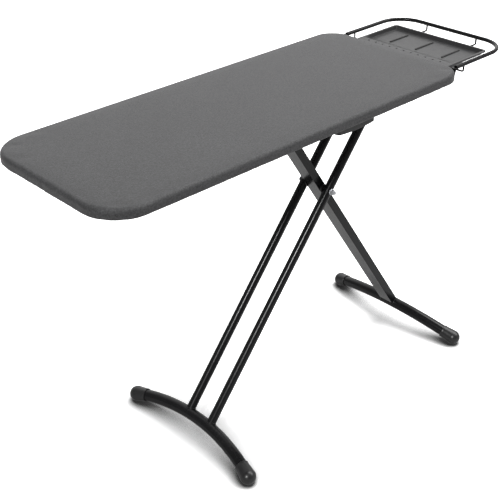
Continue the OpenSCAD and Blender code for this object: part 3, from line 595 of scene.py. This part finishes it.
def filled(boundary, spacing, holes=()):
    """Triangles that fill a closed boundary with evenly staggered points, less its holes."""
    points = [Vector(p) for p in boundary]
    edges = [(k, (k + 1) % len(boundary)) for k in range(len(boundary))]
    for hole in holes:
        start = len(points)
        points.extend(Vector(p) for p in hole)
        edges.extend((start + k, start + (k + 1) % len(hole)) for k in range(len(hole)))
    fixed = len(points)
    xs, ys = [p.x for p in points], [p.y for p in points]
    cells = {}
    for p in points:
        cells.setdefault((round(p.x / spacing), round(p.y / spacing)), []).append(p)
    row, y = 0, min(ys) + spacing * 0.5
    while y < max(ys):
        x = min(xs) + spacing * (0.5 if row % 2 else 1.0)
        while x < max(xs):
            p = Vector((x, y))
            cx, cy = round(x / spacing), round(y / spacing)
            near = [q for dx in (-1, 0, 1) for dy in (-1, 0, 1)
                    for q in cells.get((cx + dx, cy + dy), ())]
            if all((p - q).length > spacing * 0.55 for q in near):
                points.append(p)
            x += spacing
        y += spacing * 0.8660254
        row += 1
    out = delaunay_2d_cdt(points, edges, [list(range(len(boundary)))], 1, 1e-7)
    coords, faces = out[0], out[2]
    kept = []
    for face in faces:
        middle = sum((coords[i] for i in face), Vector((0.0, 0.0))) / len(face)
        if not any(inside(middle, hole) for hole in holes):
            kept.append(face)
    return coords, kept, fixed


def inside(point, polygon):
    """Whether a point lies in a polygon."""
    hit = False
    for k, (x1, y1) in enumerate(polygon):
        x2, y2 = polygon[k - 1]
        if (y1 > point.y) != (y2 > point.y):
            if point.x < (x2 - x1) * (point.y - y1) / (y2 - y1) + x1:
                hit = not hit
    return hit


def blend_in(value, start, end):
    """Smooth step from 0 at start to 1 at end."""
    t = min(1.0, max(0.0, (value - start) / (end - start)))
    return t * t * (3.0 - 2.0 * t)


def wrap_mesh(name, rings, spacing, close_bottom):
    """Mesh from matching rings, the first filled as the top and the last as the bottom.
    Returns the mesh and the indices of the bottom's own faces."""
    bm = bmesh.new()
    loops = []
    for ring, height in rings:
        loops.append([bm.verts.new((x, y, height)) for x, y in ring])
    for upper, lower in zip(loops, loops[1:]):
        for k in range(len(upper)):
            j = (k + 1) % len(upper)
            bm.faces.new((upper[k], lower[k], lower[j], upper[j]))
    lids = [(0, rings[0], spacing, False)]
    if close_bottom:
        lids.append((-1, rings[-1], spacing * 2.5, True))
    bottom = []
    for index, (ring, height), step, flipped in lids:
        coords, faces, _ = filled(ring, step)
        known = {}
        loop = loops[index]
        for k, (x, y) in enumerate(ring):
            known[(round(x, 6), round(y, 6))] = loop[k]
        verts = []
        for c in coords:
            key = (round(c.x, 6), round(c.y, 6))
            vert = known.get(key)
            if vert is None:
                vert = bm.verts.new((c.x, c.y, height))
                known[key] = vert
            verts.append(vert)
        for face in faces:
            corners = [verts[i] for i in face]
            if len(set(corners)) < 3:
                continue
            try:
                made = bm.faces.new(corners)
            except ValueError:
                continue
            if flipped:
                bottom.append(made)
    bmesh.ops.recalc_face_normals(bm, faces=bm.faces[:])
    bm.faces.index_update()
    marks = [f.index for f in bottom]
    mesh = bpy.data.meshes.new(name)
    bm.to_mesh(mesh)
    bm.free()
    return mesh, marks


# ---- Cover and pad ----

def swell_cloth(obj, sizes, pinned):
    """Pushes the cloth out with the padding's pressure and keeps the move small and smooth."""
    scene = bpy.context.scene
    group = obj.vertex_groups.new(name="held")
    group.add(pinned, 1.0, "REPLACE")
    rest = [v.co.copy() for v in obj.data.vertices]
    cloth = obj.modifiers.new("cloth", "CLOTH")
    settings = cloth.settings
    settings.quality = 5
    settings.mass = 0.2
    settings.tension_stiffness = 12.0
    settings.compression_stiffness = 12.0
    settings.bending_stiffness = 1.5
    settings.use_pressure = True
    settings.uniform_pressure_force = sizes.pressure
    settings.vertex_group_mass = "held"
    settings.effector_weights.gravity = 0.0
    cloth.collision_settings.use_collision = False
    cloth.point_cache.frame_start = 1
    cloth.point_cache.frame_end = sizes.frames
    for step in range(1, sizes.frames + 1):
        scene.frame_set(step)
    graph = bpy.context.evaluated_depsgraph_get()
    moved = [v.co.copy() for v in obj.evaluated_get(graph).data.vertices]
    obj.modifiers.clear()
    scene.frame_set(1)
    low, high = COVER_LOW.z + 0.003, COVER_HIGH.z - 0.006
    for vert, before, after in zip(obj.data.vertices, rest, moved):
        shift = (after - before) * blend_in(before.z, low, high)
        if shift.length > sizes.swell:
            shift *= sizes.swell / shift.length
        vert.co = before + shift


def gather_hem(mesh, sizes, low, high):
    """Gathers the cloth along its lower edge, more round the corners, and folds a nose seam."""
    nose, tail = sizes.nose_radius, sizes.tail_radius
    for vert in mesh.vertices:
        x, y, z = vert.co
        depth = inset_of(x, y, low, high, nose, tail)
        height = blend_in(z, low.z + 0.013, low.z + 0.001)
        if height <= 0.0:
            continue
        corner = min(abs(x - low.x), abs(high.x - x)) < nose and min(y - low.y, high.y - y) < nose
        around = math.atan2(y, x - math.copysign(0.35, x)) * 0.28 + (x if abs(x) < 0.35 else 0.0)
        ripple = noise.noise(Vector((around * 95.0, 1.7, 0.0)))
        ripple += 0.5 * noise.noise(Vector((around * 240.0, 4.1, 0.0)))
        nose_end = blend_in(x, low.x + 0.12, low.x + 0.01)
        strength = sizes.pucker * (1.0 + (0.7 if corner else 0.0) + 0.5 * nose_end)
        if depth < 0.006:
            away = Vector((-x * 0.2 if abs(x) < 0.4 else -x, -y, 0.0)).normalized()
            vert.co += away * (strength * (0.55 + 0.6 * ripple) * height)
            vert.co.z += 0.5 * strength * ripple * height
        else:
            vert.co.z += strength * 0.9 * abs(ripple) * height
    for vert in mesh.vertices:
        x, y, z = vert.co
        if x < low.x + 0.012 and abs(y) < 0.004 and z < high.z - 0.005:
            vert.co.x += 0.0011 * math.cos(y / 0.004 * math.pi / 2) ** 2


def cover_rings(sizes, low, high, shrink):
    """Rings of the cover from its flat top, over the edge and in along the hem."""
    def ring(inset):
        return outline(inset + shrink, sizes.mesh_step, low, high, sizes.nose_radius,
                       sizes.tail_radius)

    top, under = high.z - shrink, low.z + 0.0002
    upper, lower = sizes.edge_radius, sizes.hem_radius
    rings = [(ring(upper + 0.012), top), (ring(upper + 0.004), top)]
    for k in range(7):
        angle = math.pi / 2 * k / 6
        rings.append((ring(upper - upper * math.sin(angle)), top - upper + upper * math.cos(angle)))
    side = top - upper - (under + lower)
    for k in (1, 2):
        rings.append((ring(0.0), top - upper - side * k / 3))
    for k in range(4):
        angle = math.pi / 2 * k / 3
        rings.append((ring(lower - lower * math.cos(angle)), under + lower - lower * math.sin(angle)))
    for share in (0.35, 0.68, 1.0):
        rings.append((ring(lower + (sizes.hem_width - lower) * share), under))
    return rings


class BOARD_OT_cover(Operator):
    """Cloth cover stretched over the padding, with its gathered hem under the edge"""

    bl_idname = "board.cover"
    bl_label = "Cover"

    def execute(self, context):
        sizes = context.scene.board_cloth
        low, high = COVER_LOW, COVER_HIGH
        rings = cover_rings(sizes, low, high, 0.0001)
        mesh, bottom = wrap_mesh("board_cover", rings, sizes.mesh_step, True)
        obj = bpy.data.objects.new("board_cover_sim", mesh)
        context.scene.collection.objects.link(obj)
        pinned = [v.index for v in mesh.vertices if v.co.z < low.z + 0.004]
        swell_cloth(obj, sizes, pinned)
        bm = bmesh.new()
        bm.from_mesh(obj.data)
        bm.faces.ensure_lookup_table()
        bmesh.ops.delete(bm, geom=[bm.faces[i] for i in bottom], context="FACES")
        bm.to_mesh(obj.data)
        bm.free()
        gather_hem(obj.data, sizes, low, high)
        thick = obj.modifiers.new("thickness", "SOLIDIFY")
        thick.thickness = sizes.thickness
        thick.offset = -1.0
        thick.use_even_offset = False
        rounder = obj.modifiers.new("rounder", "SUBSURF")
        rounder.levels = rounder.render_levels = 1
        bake_modifiers(obj)
        mesh = smooth(obj.data)
        bpy.data.objects.remove(obj)
        cover = add_object("board_cover", mesh, "cloth", "board")
        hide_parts("cover")
        return {"FINISHED"}


class BOARD_OT_felt(Operator):
    """Felt pad between the cover and the steel plate"""

    bl_idname = "board.felt"
    bl_label = "Felt pad"

    def execute(self, context):
        sizes = context.scene.board_cloth
        low, high = PAD_LOW.copy(), PAD_HIGH.copy()
        high.z -= 0.0018
        inner, bend = 0.0016, sizes.edge_radius - 0.0015
        nose = sizes.nose_radius - 0.0015
        tail = sizes.tail_radius - 0.0015

        def ring(inset):
            return outline(inner + inset, 0.014, low, high, nose, tail)

        rings = [(ring(0.028), high.z), (ring(bend + 0.004), high.z)]
        for k in range(7):
            angle = math.radians(62) * k / 6
            rings.append((ring(bend - bend * math.sin(angle)), high.z - bend + bend * math.cos(angle)))
        rings.append((ring(0.0012), low.z + 0.0001))
        rings.append((ring(0.008), low.z + 0.0001))
        mesh, _ = wrap_mesh("felt_pad", rings, 0.016, True)
        for vert in mesh.vertices:
            if vert.co.z > low.z + 0.002:
                vert.co.z -= 0.0006 * (0.5 + 0.5 * noise.noise(vert.co * 22.0))
        pad = add_object("felt_pad", smooth(mesh), "felt", "board")
        rounder = pad.modifiers.new("rounder", "SUBSURF")
        rounder.levels = rounder.render_levels = 1
        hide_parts("pad")
        return {"FINISHED"}


# ---- Iron rest ----

def tray_height(sizes, x, y):
    """Height of the tray's upper face below the deck, at x from its front and y from its middle."""
    half = (TRAY_HIGH.y - TRAY_LOW.y) / 2 - sizes.rim
    outer = TRAY_HIGH.x - TRAY_LOW.x - sizes.rim
    ramp = blend_in(x, sizes.deck_end - 0.003, sizes.ramp_end + 0.003)
    corner = sizes.corner
    dx, dy = outer - x, half - abs(y)
    if dx < corner and dy < corner:
        wall = corner - math.hypot(corner - dx, corner - dy)
    else:
        wall = min(dx, dy)
    return -sizes.depth * ramp * blend_in(wall, 0.0002, 0.0036)


def quarter(x, y, radius, start, steps):
    """Points of a quarter circle about x and y, from the angle start."""
    return [(x + radius * math.cos(start + math.pi / 2 * k / steps),
             y + radius * math.sin(start + math.pi / 2 * k / steps)) for k in range(steps + 1)]


class BOARD_OT_tray(Operator):
    """Pressed iron rest with its vents, ramp, basin, rim and folded lip"""

    bl_idname = "board.tray"
    bl_label = "Iron rest"

    def execute(self, context):
        sizes = context.scene.board_tray
        low, high = TRAY_LOW, TRAY_HIGH
        deck = high.z
        front, back, half = sizes.riser, high.x - low.x, high.y
        boundary, front_start = self.plan(sizes, front, back, half)
        holes = self.vents(sizes)
        wall_lines = self.walls(sizes, half - sizes.rim, back - sizes.rim)
        coords, faces = self.sheet_points(boundary, holes, wall_lines)
        bm = bmesh.new()
        verts = [bm.verts.new((low.x + c.x, c.y, deck - SKIN + tray_height(sizes, c.x, c.y)))
                 for c in coords]
        for face in faces:
            bm.faces.new([verts[i] for i in face])
        bmesh.ops.recalc_face_normals(bm, faces=bm.faces[:])
        if sum(f.normal.z * f.calc_area() for f in bm.faces) < 0:
            bmesh.ops.reverse_faces(bm, faces=bm.faces[:])
        loop = verts[:len(boundary)]
        self.draw_collars(bm, verts[len(boundary):len(boundary) + VENT_STEPS * len(holes)],
                          sizes, deck)
        self.fold_lip(bm, loop, boundary, sizes, front_start, low, deck)
        mesh = bpy.data.meshes.new("iron_tray_pressing")
        bm.to_mesh(mesh)
        bm.free()
        obj = bpy.data.objects.new("tray_build", smooth(mesh))
        context.scene.collection.objects.link(obj)
        thick = obj.modifiers.new("thickness", "SOLIDIFY")
        thick.thickness = sizes.sheet
        thick.offset = -1.0
        thick.use_even_offset = True
        thick.thickness_clamp = 0.6
        bake_modifiers(obj)
        mesh = obj.data
        bpy.data.objects.remove(obj)
        tray = add_object("iron_tray_pressing", mesh, "rest", "board")
        crease = tray.modifiers.new("crease", "EDGE_SPLIT")
        crease.split_angle = math.radians(50)
        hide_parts("iron_tray")
        return {"FINISHED"}

    def plan(self, sizes, front, back, half):
        """Outline of the pressing from above, and where its front edge starts."""
        corner = sizes.corner + sizes.rim
        side, end = back - corner - front, 2 * half - 2 * corner
        side_steps, end_steps = round(side / TRAY_STEP), round(end / TRAY_STEP)
        points = [(front + side * k / side_steps, -half) for k in range(side_steps)]
        points += quarter(back - corner, -half + corner, corner, -math.pi / 2, 12)
        points += [(back, -half + corner + end * k / end_steps) for k in range(1, end_steps)]
        points += quarter(back - corner, half - corner, corner, 0.0, 12)
        points += [(back - corner - side * k / side_steps, half)
                   for k in range(1, side_steps + 1)]
        front_start = len(points) - 1
        front_steps = round(2 * half / TRAY_STEP)
        points += [(front, half - 2 * half * k / front_steps) for k in range(1, front_steps)]
        return points, front_start

    def vents(self, sizes):
        """Rims of the vents in their row across the deck."""
        radius = sizes.vent / 2
        rims = []
        for k in range(sizes.vent_count):
            middle = (k - (sizes.vent_count - 1) / 2) * sizes.vent_pitch
            rims.append([(sizes.vent_line + radius * math.cos(math.tau * j / VENT_STEPS),
                          middle + radius * math.sin(math.tau * j / VENT_STEPS))
                         for j in range(VENT_STEPS)])
        return rims

    def walls(self, sizes, inner_y, inner_x):
        """Points in rows along the basin's wall, which hold its bend."""
        start = sizes.deck_end - 0.002
        span = inner_x - sizes.corner - start
        run = 2 * (inner_y - sizes.corner)
        end_steps = int(run / TRAY_STEP)
        points = []
        for off in (0.0002, 0.0014, 0.0025, 0.0037):
            for k in range(int(span / TRAY_STEP) + 1):
                for side in (-1, 1):
                    points.append((start + k * TRAY_STEP, side * (inner_y - off)))
            for x, y in quarter(0.0, 0.0, sizes.corner - off, 0.0, 8):
                for side in (-1, 1):
                    points.append((inner_x - sizes.corner + x,
                                   side * (inner_y - sizes.corner + y)))
            points += [(inner_x - off, -run / 2 + k * run / end_steps)
                       for k in range(1, end_steps)]
        return points

    def sheet_points(self, boundary, holes, wall_lines):
        """Fills the tray's outline, with close points along the basin's wall."""
        points = [Vector(p) for p in boundary]
        edges = [(k, (k + 1) % len(boundary)) for k in range(len(boundary))]
        for hole in holes:
            start = len(points)
            points.extend(Vector(p) for p in hole)
            edges.extend((start + k, start + (k + 1) % len(hole)) for k in range(len(hole)))
        spacing = 0.0045
        cells = {}
        fixed = points + [Vector(p) for p in wall_lines]
        for p in fixed:
            cells.setdefault((round(p.x / spacing), round(p.y / spacing)), []).append(p)
        xs, ys = [p.x for p in points], [p.y for p in points]
        extra, row, y = [], 0, min(ys) + spacing * 0.5
        while y < max(ys):
            x = min(xs) + spacing * (0.5 if row % 2 else 1.0)
            while x < max(xs):
                p = Vector((x, y))
                cx, cy = round(x / spacing), round(y / spacing)
                near = [q for dx in (-1, 0, 1) for dy in (-1, 0, 1)
                        for q in cells.get((cx + dx, cy + dy), ())]
                if all((p - q).length > spacing * 0.5 for q in near):
                    extra.append(p)
                x += spacing
            y += spacing * 0.8660254
            row += 1
        points = fixed + extra
        out = delaunay_2d_cdt(points, edges, [list(range(len(boundary)))], 1, 1e-7)
        coords, faces, origins = out[0], out[2], out[3]
        order = {}
        for index, sources in enumerate(origins):
            for source in sources:
                order[source] = index
        first = [order[k] for k in range(len(boundary) + sum(map(len, holes)))]
        rest = [k for k in range(len(coords)) if k not in set(first)]
        rank = {old: new for new, old in enumerate(first + rest)}
        kept = []
        for face in faces:
            middle = sum((coords[i] for i in face), Vector((0.0, 0.0))) / len(face)
            if not any(inside(middle, hole) for hole in holes):
                kept.append([rank[i] for i in face])
        return [coords[i] for i in first + rest], kept

    def draw_collars(self, bm, rims, sizes, deck):
        """Draws the sheet down round each vent."""
        bend = 0.0008
        for hole in range(sizes.vent_count):
            rim = rims[VENT_STEPS * hole:VENT_STEPS * (hole + 1)]
            middle = sum((v.co for v in rim), Vector()) / VENT_STEPS
            previous = rim
            for level in (0.5, 1.0, 1.5, 2.0):
                angle = math.pi / 2 * min(level, 1.0)
                inward = -bend + bend * math.sin(angle)
                drop = bend - bend * math.cos(angle) + (sizes.collar - bend) * max(0.0, level - 1.0)
                ring = []
                for vert in rim:
                    away = (vert.co - middle).normalized()
                    spot = middle + away * (sizes.vent / 2 - inward)
                    ring.append(bm.verts.new((spot.x, spot.y, deck - SKIN - drop)))
                for k in range(VENT_STEPS):
                    j = (k + 1) % VENT_STEPS
                    bm.faces.new((previous[k], previous[j], ring[j], ring[k]))
                previous = ring
            for vert in rim:
                away = (vert.co - middle).normalized()
                vert.co += away * bend
                vert.co.z = deck - SKIN

    def outward(self, boundary, k, last):
        """Direction out of the pressing's outline at point k."""
        run = (Vector(boundary[min(k + 1, last)]) - Vector(boundary[max(k - 1, 0)])).normalized()
        return Vector((run.y, -run.x))

    def fold_lip(self, bm, loop, boundary, sizes, front_start, low, deck):
        """Folds the lip down round the sides and end, and the riser and flange at the front."""
        floor = sizes.depth + sizes.sheet
        bend = 0.0012
        previous = loop[:front_start + 1]
        for level in (0.3, 0.65, 1.0, 2.0, 3.0, 4.0):
            ring = []
            for k in range(front_start + 1):
                share = blend_in(boundary[k][0], sizes.ramp_end + 0.012, sizes.ramp_end - 0.001)
                deep = sizes.lip + (floor - sizes.lip) * share
                if level <= 1.0:
                    angle = math.pi / 2 * level
                    inward, drop = -bend + bend * math.sin(angle), bend - bend * math.cos(angle)
                else:
                    inward, drop = 0.0, bend + (deep - bend) * (level - 1.0) / 3.0
                spot = Vector(boundary[k]) + self.outward(boundary, k, front_start) * inward
                ring.append(bm.verts.new((low.x + spot.x, spot.y, deck - SKIN - drop)))
            for k in range(front_start):
                bm.faces.new((previous[k], ring[k], ring[k + 1], previous[k + 1]))
            previous = ring
        for k, base in enumerate(loop[:front_start + 1]):
            out = self.outward(boundary, k, front_start)
            base.co.x -= out.x * bend
            base.co.y -= out.y * bend
        inner = (TRAY_HIGH.y - TRAY_LOW.y) / 2 - sizes.rim
        front = loop[front_start:] + [loop[0]]
        front = [v for v in front if abs(v.co.y) < inner + 0.0005]
        riser = deck - low.z - sizes.sheet
        previous = front
        for ahead, drop in ((0.0006, 0.0003), (0.0012, 0.0012), (0.0012, riser - 0.0012),
                            (0.0018, riser - 0.0003), (0.0030, riser), (sizes.riser, riser)):
            ring = [bm.verts.new((v.co.x - ahead, v.co.y, deck - SKIN - drop)) for v in front]
            for k in range(len(front) - 1):
                bm.faces.new((previous[k], ring[k], ring[k + 1], previous[k + 1]))
            previous = ring


# ---- Weld beads ----

def foot_arc(sizes, which):
    """Apex, rise direction and radius of a foot's arched centre line."""
    arch = sizes.nose_arch if which == "nose" else sizes.rear_arch
    reach = sizes.nose_reach if which == "nose" else -sizes.rear_reach
    slope = sizes.round_slope if which == "nose" else math.pi - sizes.box_slope
    cross = Vector(sizes.cross)
    drop = cross.z - sizes.ball_height - arch
    apex = Vector((cross.x - drop / math.tan(slope), 0.0, sizes.ball_height + arch))
    rise = Vector((reach, 0.0, arch)).normalized()
    sag = math.hypot(reach, arch)
    radius = ((sizes.span / 2) ** 2 + sag ** 2) / (2 * sag)
    return apex, rise, radius


def off_tube(point, apex, rise, radius):
    """Distance of a point from the foot's centre line."""
    centre = apex - rise * radius
    local = point - centre
    across = Vector((0.0, 1.0, 0.0))
    out_of_plane = rise.cross(across)
    side = local.dot(out_of_plane)
    reach = math.hypot(local.dot(rise), local.dot(across))
    return math.hypot(side, reach - radius)


def bead_path(start, along, ring, tube, arc):
    """Points where lines beside a leg's axis first meet the foot tube."""
    path = []
    for offset in ring:
        high = 0.0
        while high < 0.12 and off_tube(start + offset - along * high, *arc) > tube:
            high += 0.001
        low = high - 0.001
        for _ in range(10):
            middle = (low + high) / 2
            if off_tube(start + offset - along * middle, *arc) > tube:
                low = middle
            else:
                high = middle
        path.append(start + offset - along * low)
    return path


def bead_mesh(name, path, radius, seed):
    """Tube along a closed path, with the ripples of a hand-laid weld."""
    bm = bmesh.new()
    rings, count, sides = [], len(path), 10
    for k in range(count):
        run = (path[(k + 1) % count] - path[k - 1]).normalized()
        side = run.cross(Vector((0.31, 0.17, 0.93))).normalized()
        up = side.cross(run)
        size = radius * (0.88 + 0.16 * math.sin(k * 1.9) + 0.14 * noise.noise(
            Vector((k * 0.37, seed, 0.0))))
        rings.append([bm.verts.new(path[k] + (side * math.cos(a) + up * math.sin(a)) * size)
                      for a in (math.tau * j / sides for j in range(sides))])
    for k in range(count):
        after = rings[(k + 1) % count]
        for j in range(sides):
            i = (j + 1) % sides
            bm.faces.new((rings[k][j], rings[k][i], after[i], after[j]))
    bmesh.ops.recalc_face_normals(bm, faces=bm.faces[:])
    mesh = bpy.data.meshes.new(name)
    bm.to_mesh(mesh)
    bm.free()
    return smooth(mesh)


class BOARD_OT_welds(Operator):
    """Weld beads where the legs meet the arched feet"""

    bl_idname = "board.welds"
    bl_label = "Weld beads"

    def box_ring(self, sizes, across, normal):
        """Points round the box leg's section, just clear of its faces."""
        half_w, half_d = sizes.box_width / 2 + LEG_GAP, sizes.box_depth / 2 + LEG_GAP
        corners = [(-half_w, -half_d), (half_w, -half_d), (half_w, half_d), (-half_w, half_d)]
        ring = []
        for k, (y1, n1) in enumerate(corners):
            y2, n2 = corners[(k + 1) % 4]
            steps = round(math.hypot(y2 - y1, n2 - n1) / 0.0022)
            for j in range(steps):
                share = j / steps
                ring.append(across * (y1 + (y2 - y1) * share) + normal * (n1 + (n2 - n1) * share))
        return ring

    def execute(self, context):
        sizes = context.scene.board_legs
        cross = Vector(sizes.cross)
        nose = foot_arc(sizes, "nose")
        along = Vector((math.cos(sizes.round_slope), 0.0, math.sin(sizes.round_slope)))
        across, normal = Vector((0.0, 1.0, 0.0)), Vector((-along.z, 0.0, along.x))
        reach = (cross - nose[0]).length - WELD_START
        for seed, (name, side) in enumerate((("weld_near", -1), ("weld_far", 1))):
            start = cross - along * reach + across * (side * sizes.tube_gap / 2)
            ring = [(across * math.cos(a) + normal * math.sin(a)) * (sizes.tube / 2 + LEG_GAP)
                    for a in (math.tau * k / 56 for k in range(56))]
            path = bead_path(start, along, ring, sizes.foot / 2 + FOOT_GAP, nose)
            add_object(name, bead_mesh(name, path, sizes.bead, seed), "weld", "round_legs")
        rear = foot_arc(sizes, "rear")
        along = Vector((-math.cos(sizes.box_slope), 0.0, math.sin(sizes.box_slope)))
        normal = Vector((along.z, 0.0, -along.x))
        reach = (cross - rear[0]).length - WELD_START
        start = cross - along * reach
        ring = self.box_ring(sizes, across, normal)
        path = bead_path(start, along, ring, sizes.foot / 2 + FOOT_GAP, rear)
        add_object("weld_rear", bead_mesh("weld_rear", path, sizes.bead, 2), "weld",
                   "box_leg_frame")
        return {"FINISHED"}


# ---- Finishes on the CAD parts ----

class BOARD_OT_finishes(Operator):
    """Paint, plating and plastic on the frame's own parts"""

    bl_idname = "board.finishes"
    bl_label = "Finishes"

    def execute(self, context):
        FINISH.update(make_finishes(context.scene.board_finish))
        for finish, names in NODE_FINISH.items():
            for name in names:
                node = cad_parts[name]
                for slot in node.material_slots:
                    slot.material = FINISH[finish]
        return {"FINISHED"}


# ---- Studio ----

class BOARD_OT_stage(Operator):
    """Camera, pale floor and soft studio lights"""

    bl_idname = "board.stage"
    bl_label = "Studio"

    def execute(self, context):
        scene, studio = context.scene, context.scene.board_studio
        self.camera(scene, studio)
        self.floor(scene, studio)
        self.surround(scene, studio)
        self.sun(scene, "overhead_softbox", (0.42, -0.08, 0.90), 38.0, studio.overhead)
        self.sun(scene, "key_light", (-0.746, -0.358, 0.561), 7.0, studio.key)
        self.sun(scene, "edge_softbox", (0.59, -0.50, 0.60), 26.0, studio.edge)
        scene.view_settings.view_transform = "Standard"
        return {"FINISHED"}

    def surround(self, scene, studio):
        world = bpy.data.worlds.new("surround")
        scene.world = world
        world.use_nodes = True
        nodes = Nodes(world.node_tree)
        aim = nodes.add("ShaderNodeVectorMath", {"operation": "DOT_PRODUCT"})
        nodes.feed(aim.inputs[0], nodes.add("ShaderNodeTexCoord").outputs["Generated"])
        nodes.feed(aim.inputs[1], tuple(studio.backdrop_aim))
        light = world.node_tree.nodes["Background"].inputs
        light["Color"].default_value = (1.0, 1.0, 1.0, 1.0)
        nodes.feed(light["Strength"], nodes.spread(aim.outputs["Value"], 0.62, 0.95,
                                                   studio.surround, studio.backdrop))

    def camera(self, scene, studio):
        data = bpy.data.cameras.new("camera")
        data.sensor_width, data.lens = 36.0, studio.lens
        data.clip_start, data.clip_end = 0.05, 60.0
        obj = bpy.data.objects.new("camera", data)
        scene.collection.objects.link(obj)
        cos_tilt = math.cos(studio.tilt)
        ahead = Vector((cos_tilt * math.cos(studio.turn), cos_tilt * math.sin(studio.turn),
                        -math.sin(studio.tilt)))
        right = ahead.cross(Vector((0.0, 0.0, 1.0))).normalized()
        up = right.cross(ahead)
        cos_roll, sin_roll = math.cos(studio.roll), math.sin(studio.roll)
        rolled = right * cos_roll + up * sin_roll
        upright = up * cos_roll - right * sin_roll
        turn = Matrix((rolled, upright, -ahead)).transposed()
        obj.matrix_world = Matrix.Translation(studio.eye) @ turn.to_4x4()
        scene.camera = obj

    def floor(self, scene, studio):
        mesh = bpy.data.meshes.new("floor")
        size = 14.0
        mesh.from_pydata([(-size, -size, 0), (size, -size, 0), (size, size, 0), (-size, size, 0)],
                         [], [(0, 1, 2, 3)])
        obj = bpy.data.objects.new("floor", mesh)
        scene.collection.objects.link(obj)
        obj.location.z = -0.0002
        material = bpy.data.materials.new("studio_floor")
        material.use_nodes = True
        material.node_tree.nodes.clear()
        nodes = Nodes(material.node_tree)
        cloud = nodes.spread(nodes.noise(nodes.place(), 1.3, 3.0), 0.3, 0.7, 0.0, 1.0)
        dim = nodes.mix(cloud, tint(studio.floor, 0.98), tint(studio.floor, 1.0))
        # Painted contact shadow: ambient occlusion darkens the floor's colour, as the camera sees it,
        # next to what stands on it
        contact = nodes.add("ShaderNodeAmbientOcclusion", {"samples": 16}, Distance=studio.contact)
        open_sky = nodes.spread(contact.outputs["AO"], 0.50, 0.93, 0.05, 1.0)
        bright = nodes.math("MULTIPLY", open_sky, studio.floor_lift)
        lift = nodes.add("ShaderNodeCombineColor", Red=bright, Green=bright,
                         Blue=bright).outputs[0]
        seen = nodes.add("ShaderNodeLightPath").outputs["Is Camera Ray"]
        matt = nodes.add("ShaderNodeBsdfDiffuse", Color=nodes.mix(seen, dim, lift))
        nodes.feed(nodes.add("ShaderNodeOutputMaterial").inputs["Surface"], matt.outputs[0])
        mesh.materials.append(material)

    def sun(self, scene, name, direction, spread, power):
        data = bpy.data.lights.new(name, "SUN")
        data.energy, data.angle = power, math.radians(spread)
        obj = bpy.data.objects.new(name, data)
        scene.collection.objects.link(obj)
        obj.location = Vector(direction) * 3.0
        obj.rotation_euler = Vector(direction).to_track_quat("Z", "Y").to_euler()


class BOARD_PT_panel(Panel):
    """Builders of the ironing board's pieces"""

    bl_idname = "BOARD_PT_panel"
    bl_label = "Ironing board"
    bl_space_type = "VIEW_3D"
    bl_region_type = "UI"
    bl_category = "Ironing board"

    def draw(self, context):
        for operator in BUILDERS:
            self.layout.operator(operator.bl_idname)


BUILDERS = (BOARD_OT_finishes, BOARD_OT_cover, BOARD_OT_felt, BOARD_OT_tray, BOARD_OT_welds,
            BOARD_OT_stage)
CLASSES = (*GROUPS.values(), *BUILDERS, BOARD_PT_panel)


def register():
    for cls in CLASSES:
        bpy.utils.register_class(cls)
    for name, group in GROUPS.items():
        setattr(bpy.types.Scene, name, PointerProperty(type=group))


def unregister():
    for name in GROUPS:
        delattr(bpy.types.Scene, name)
    for cls in reversed(CLASSES):
        bpy.utils.unregister_class(cls)


def main():
    register()
    bpy.ops.board.finishes()
    bpy.ops.board.cover()
    bpy.ops.board.felt()
    bpy.ops.board.tray()
    bpy.ops.board.welds()
    bpy.ops.board.stage()


if __name__ == "__main__":
    main()
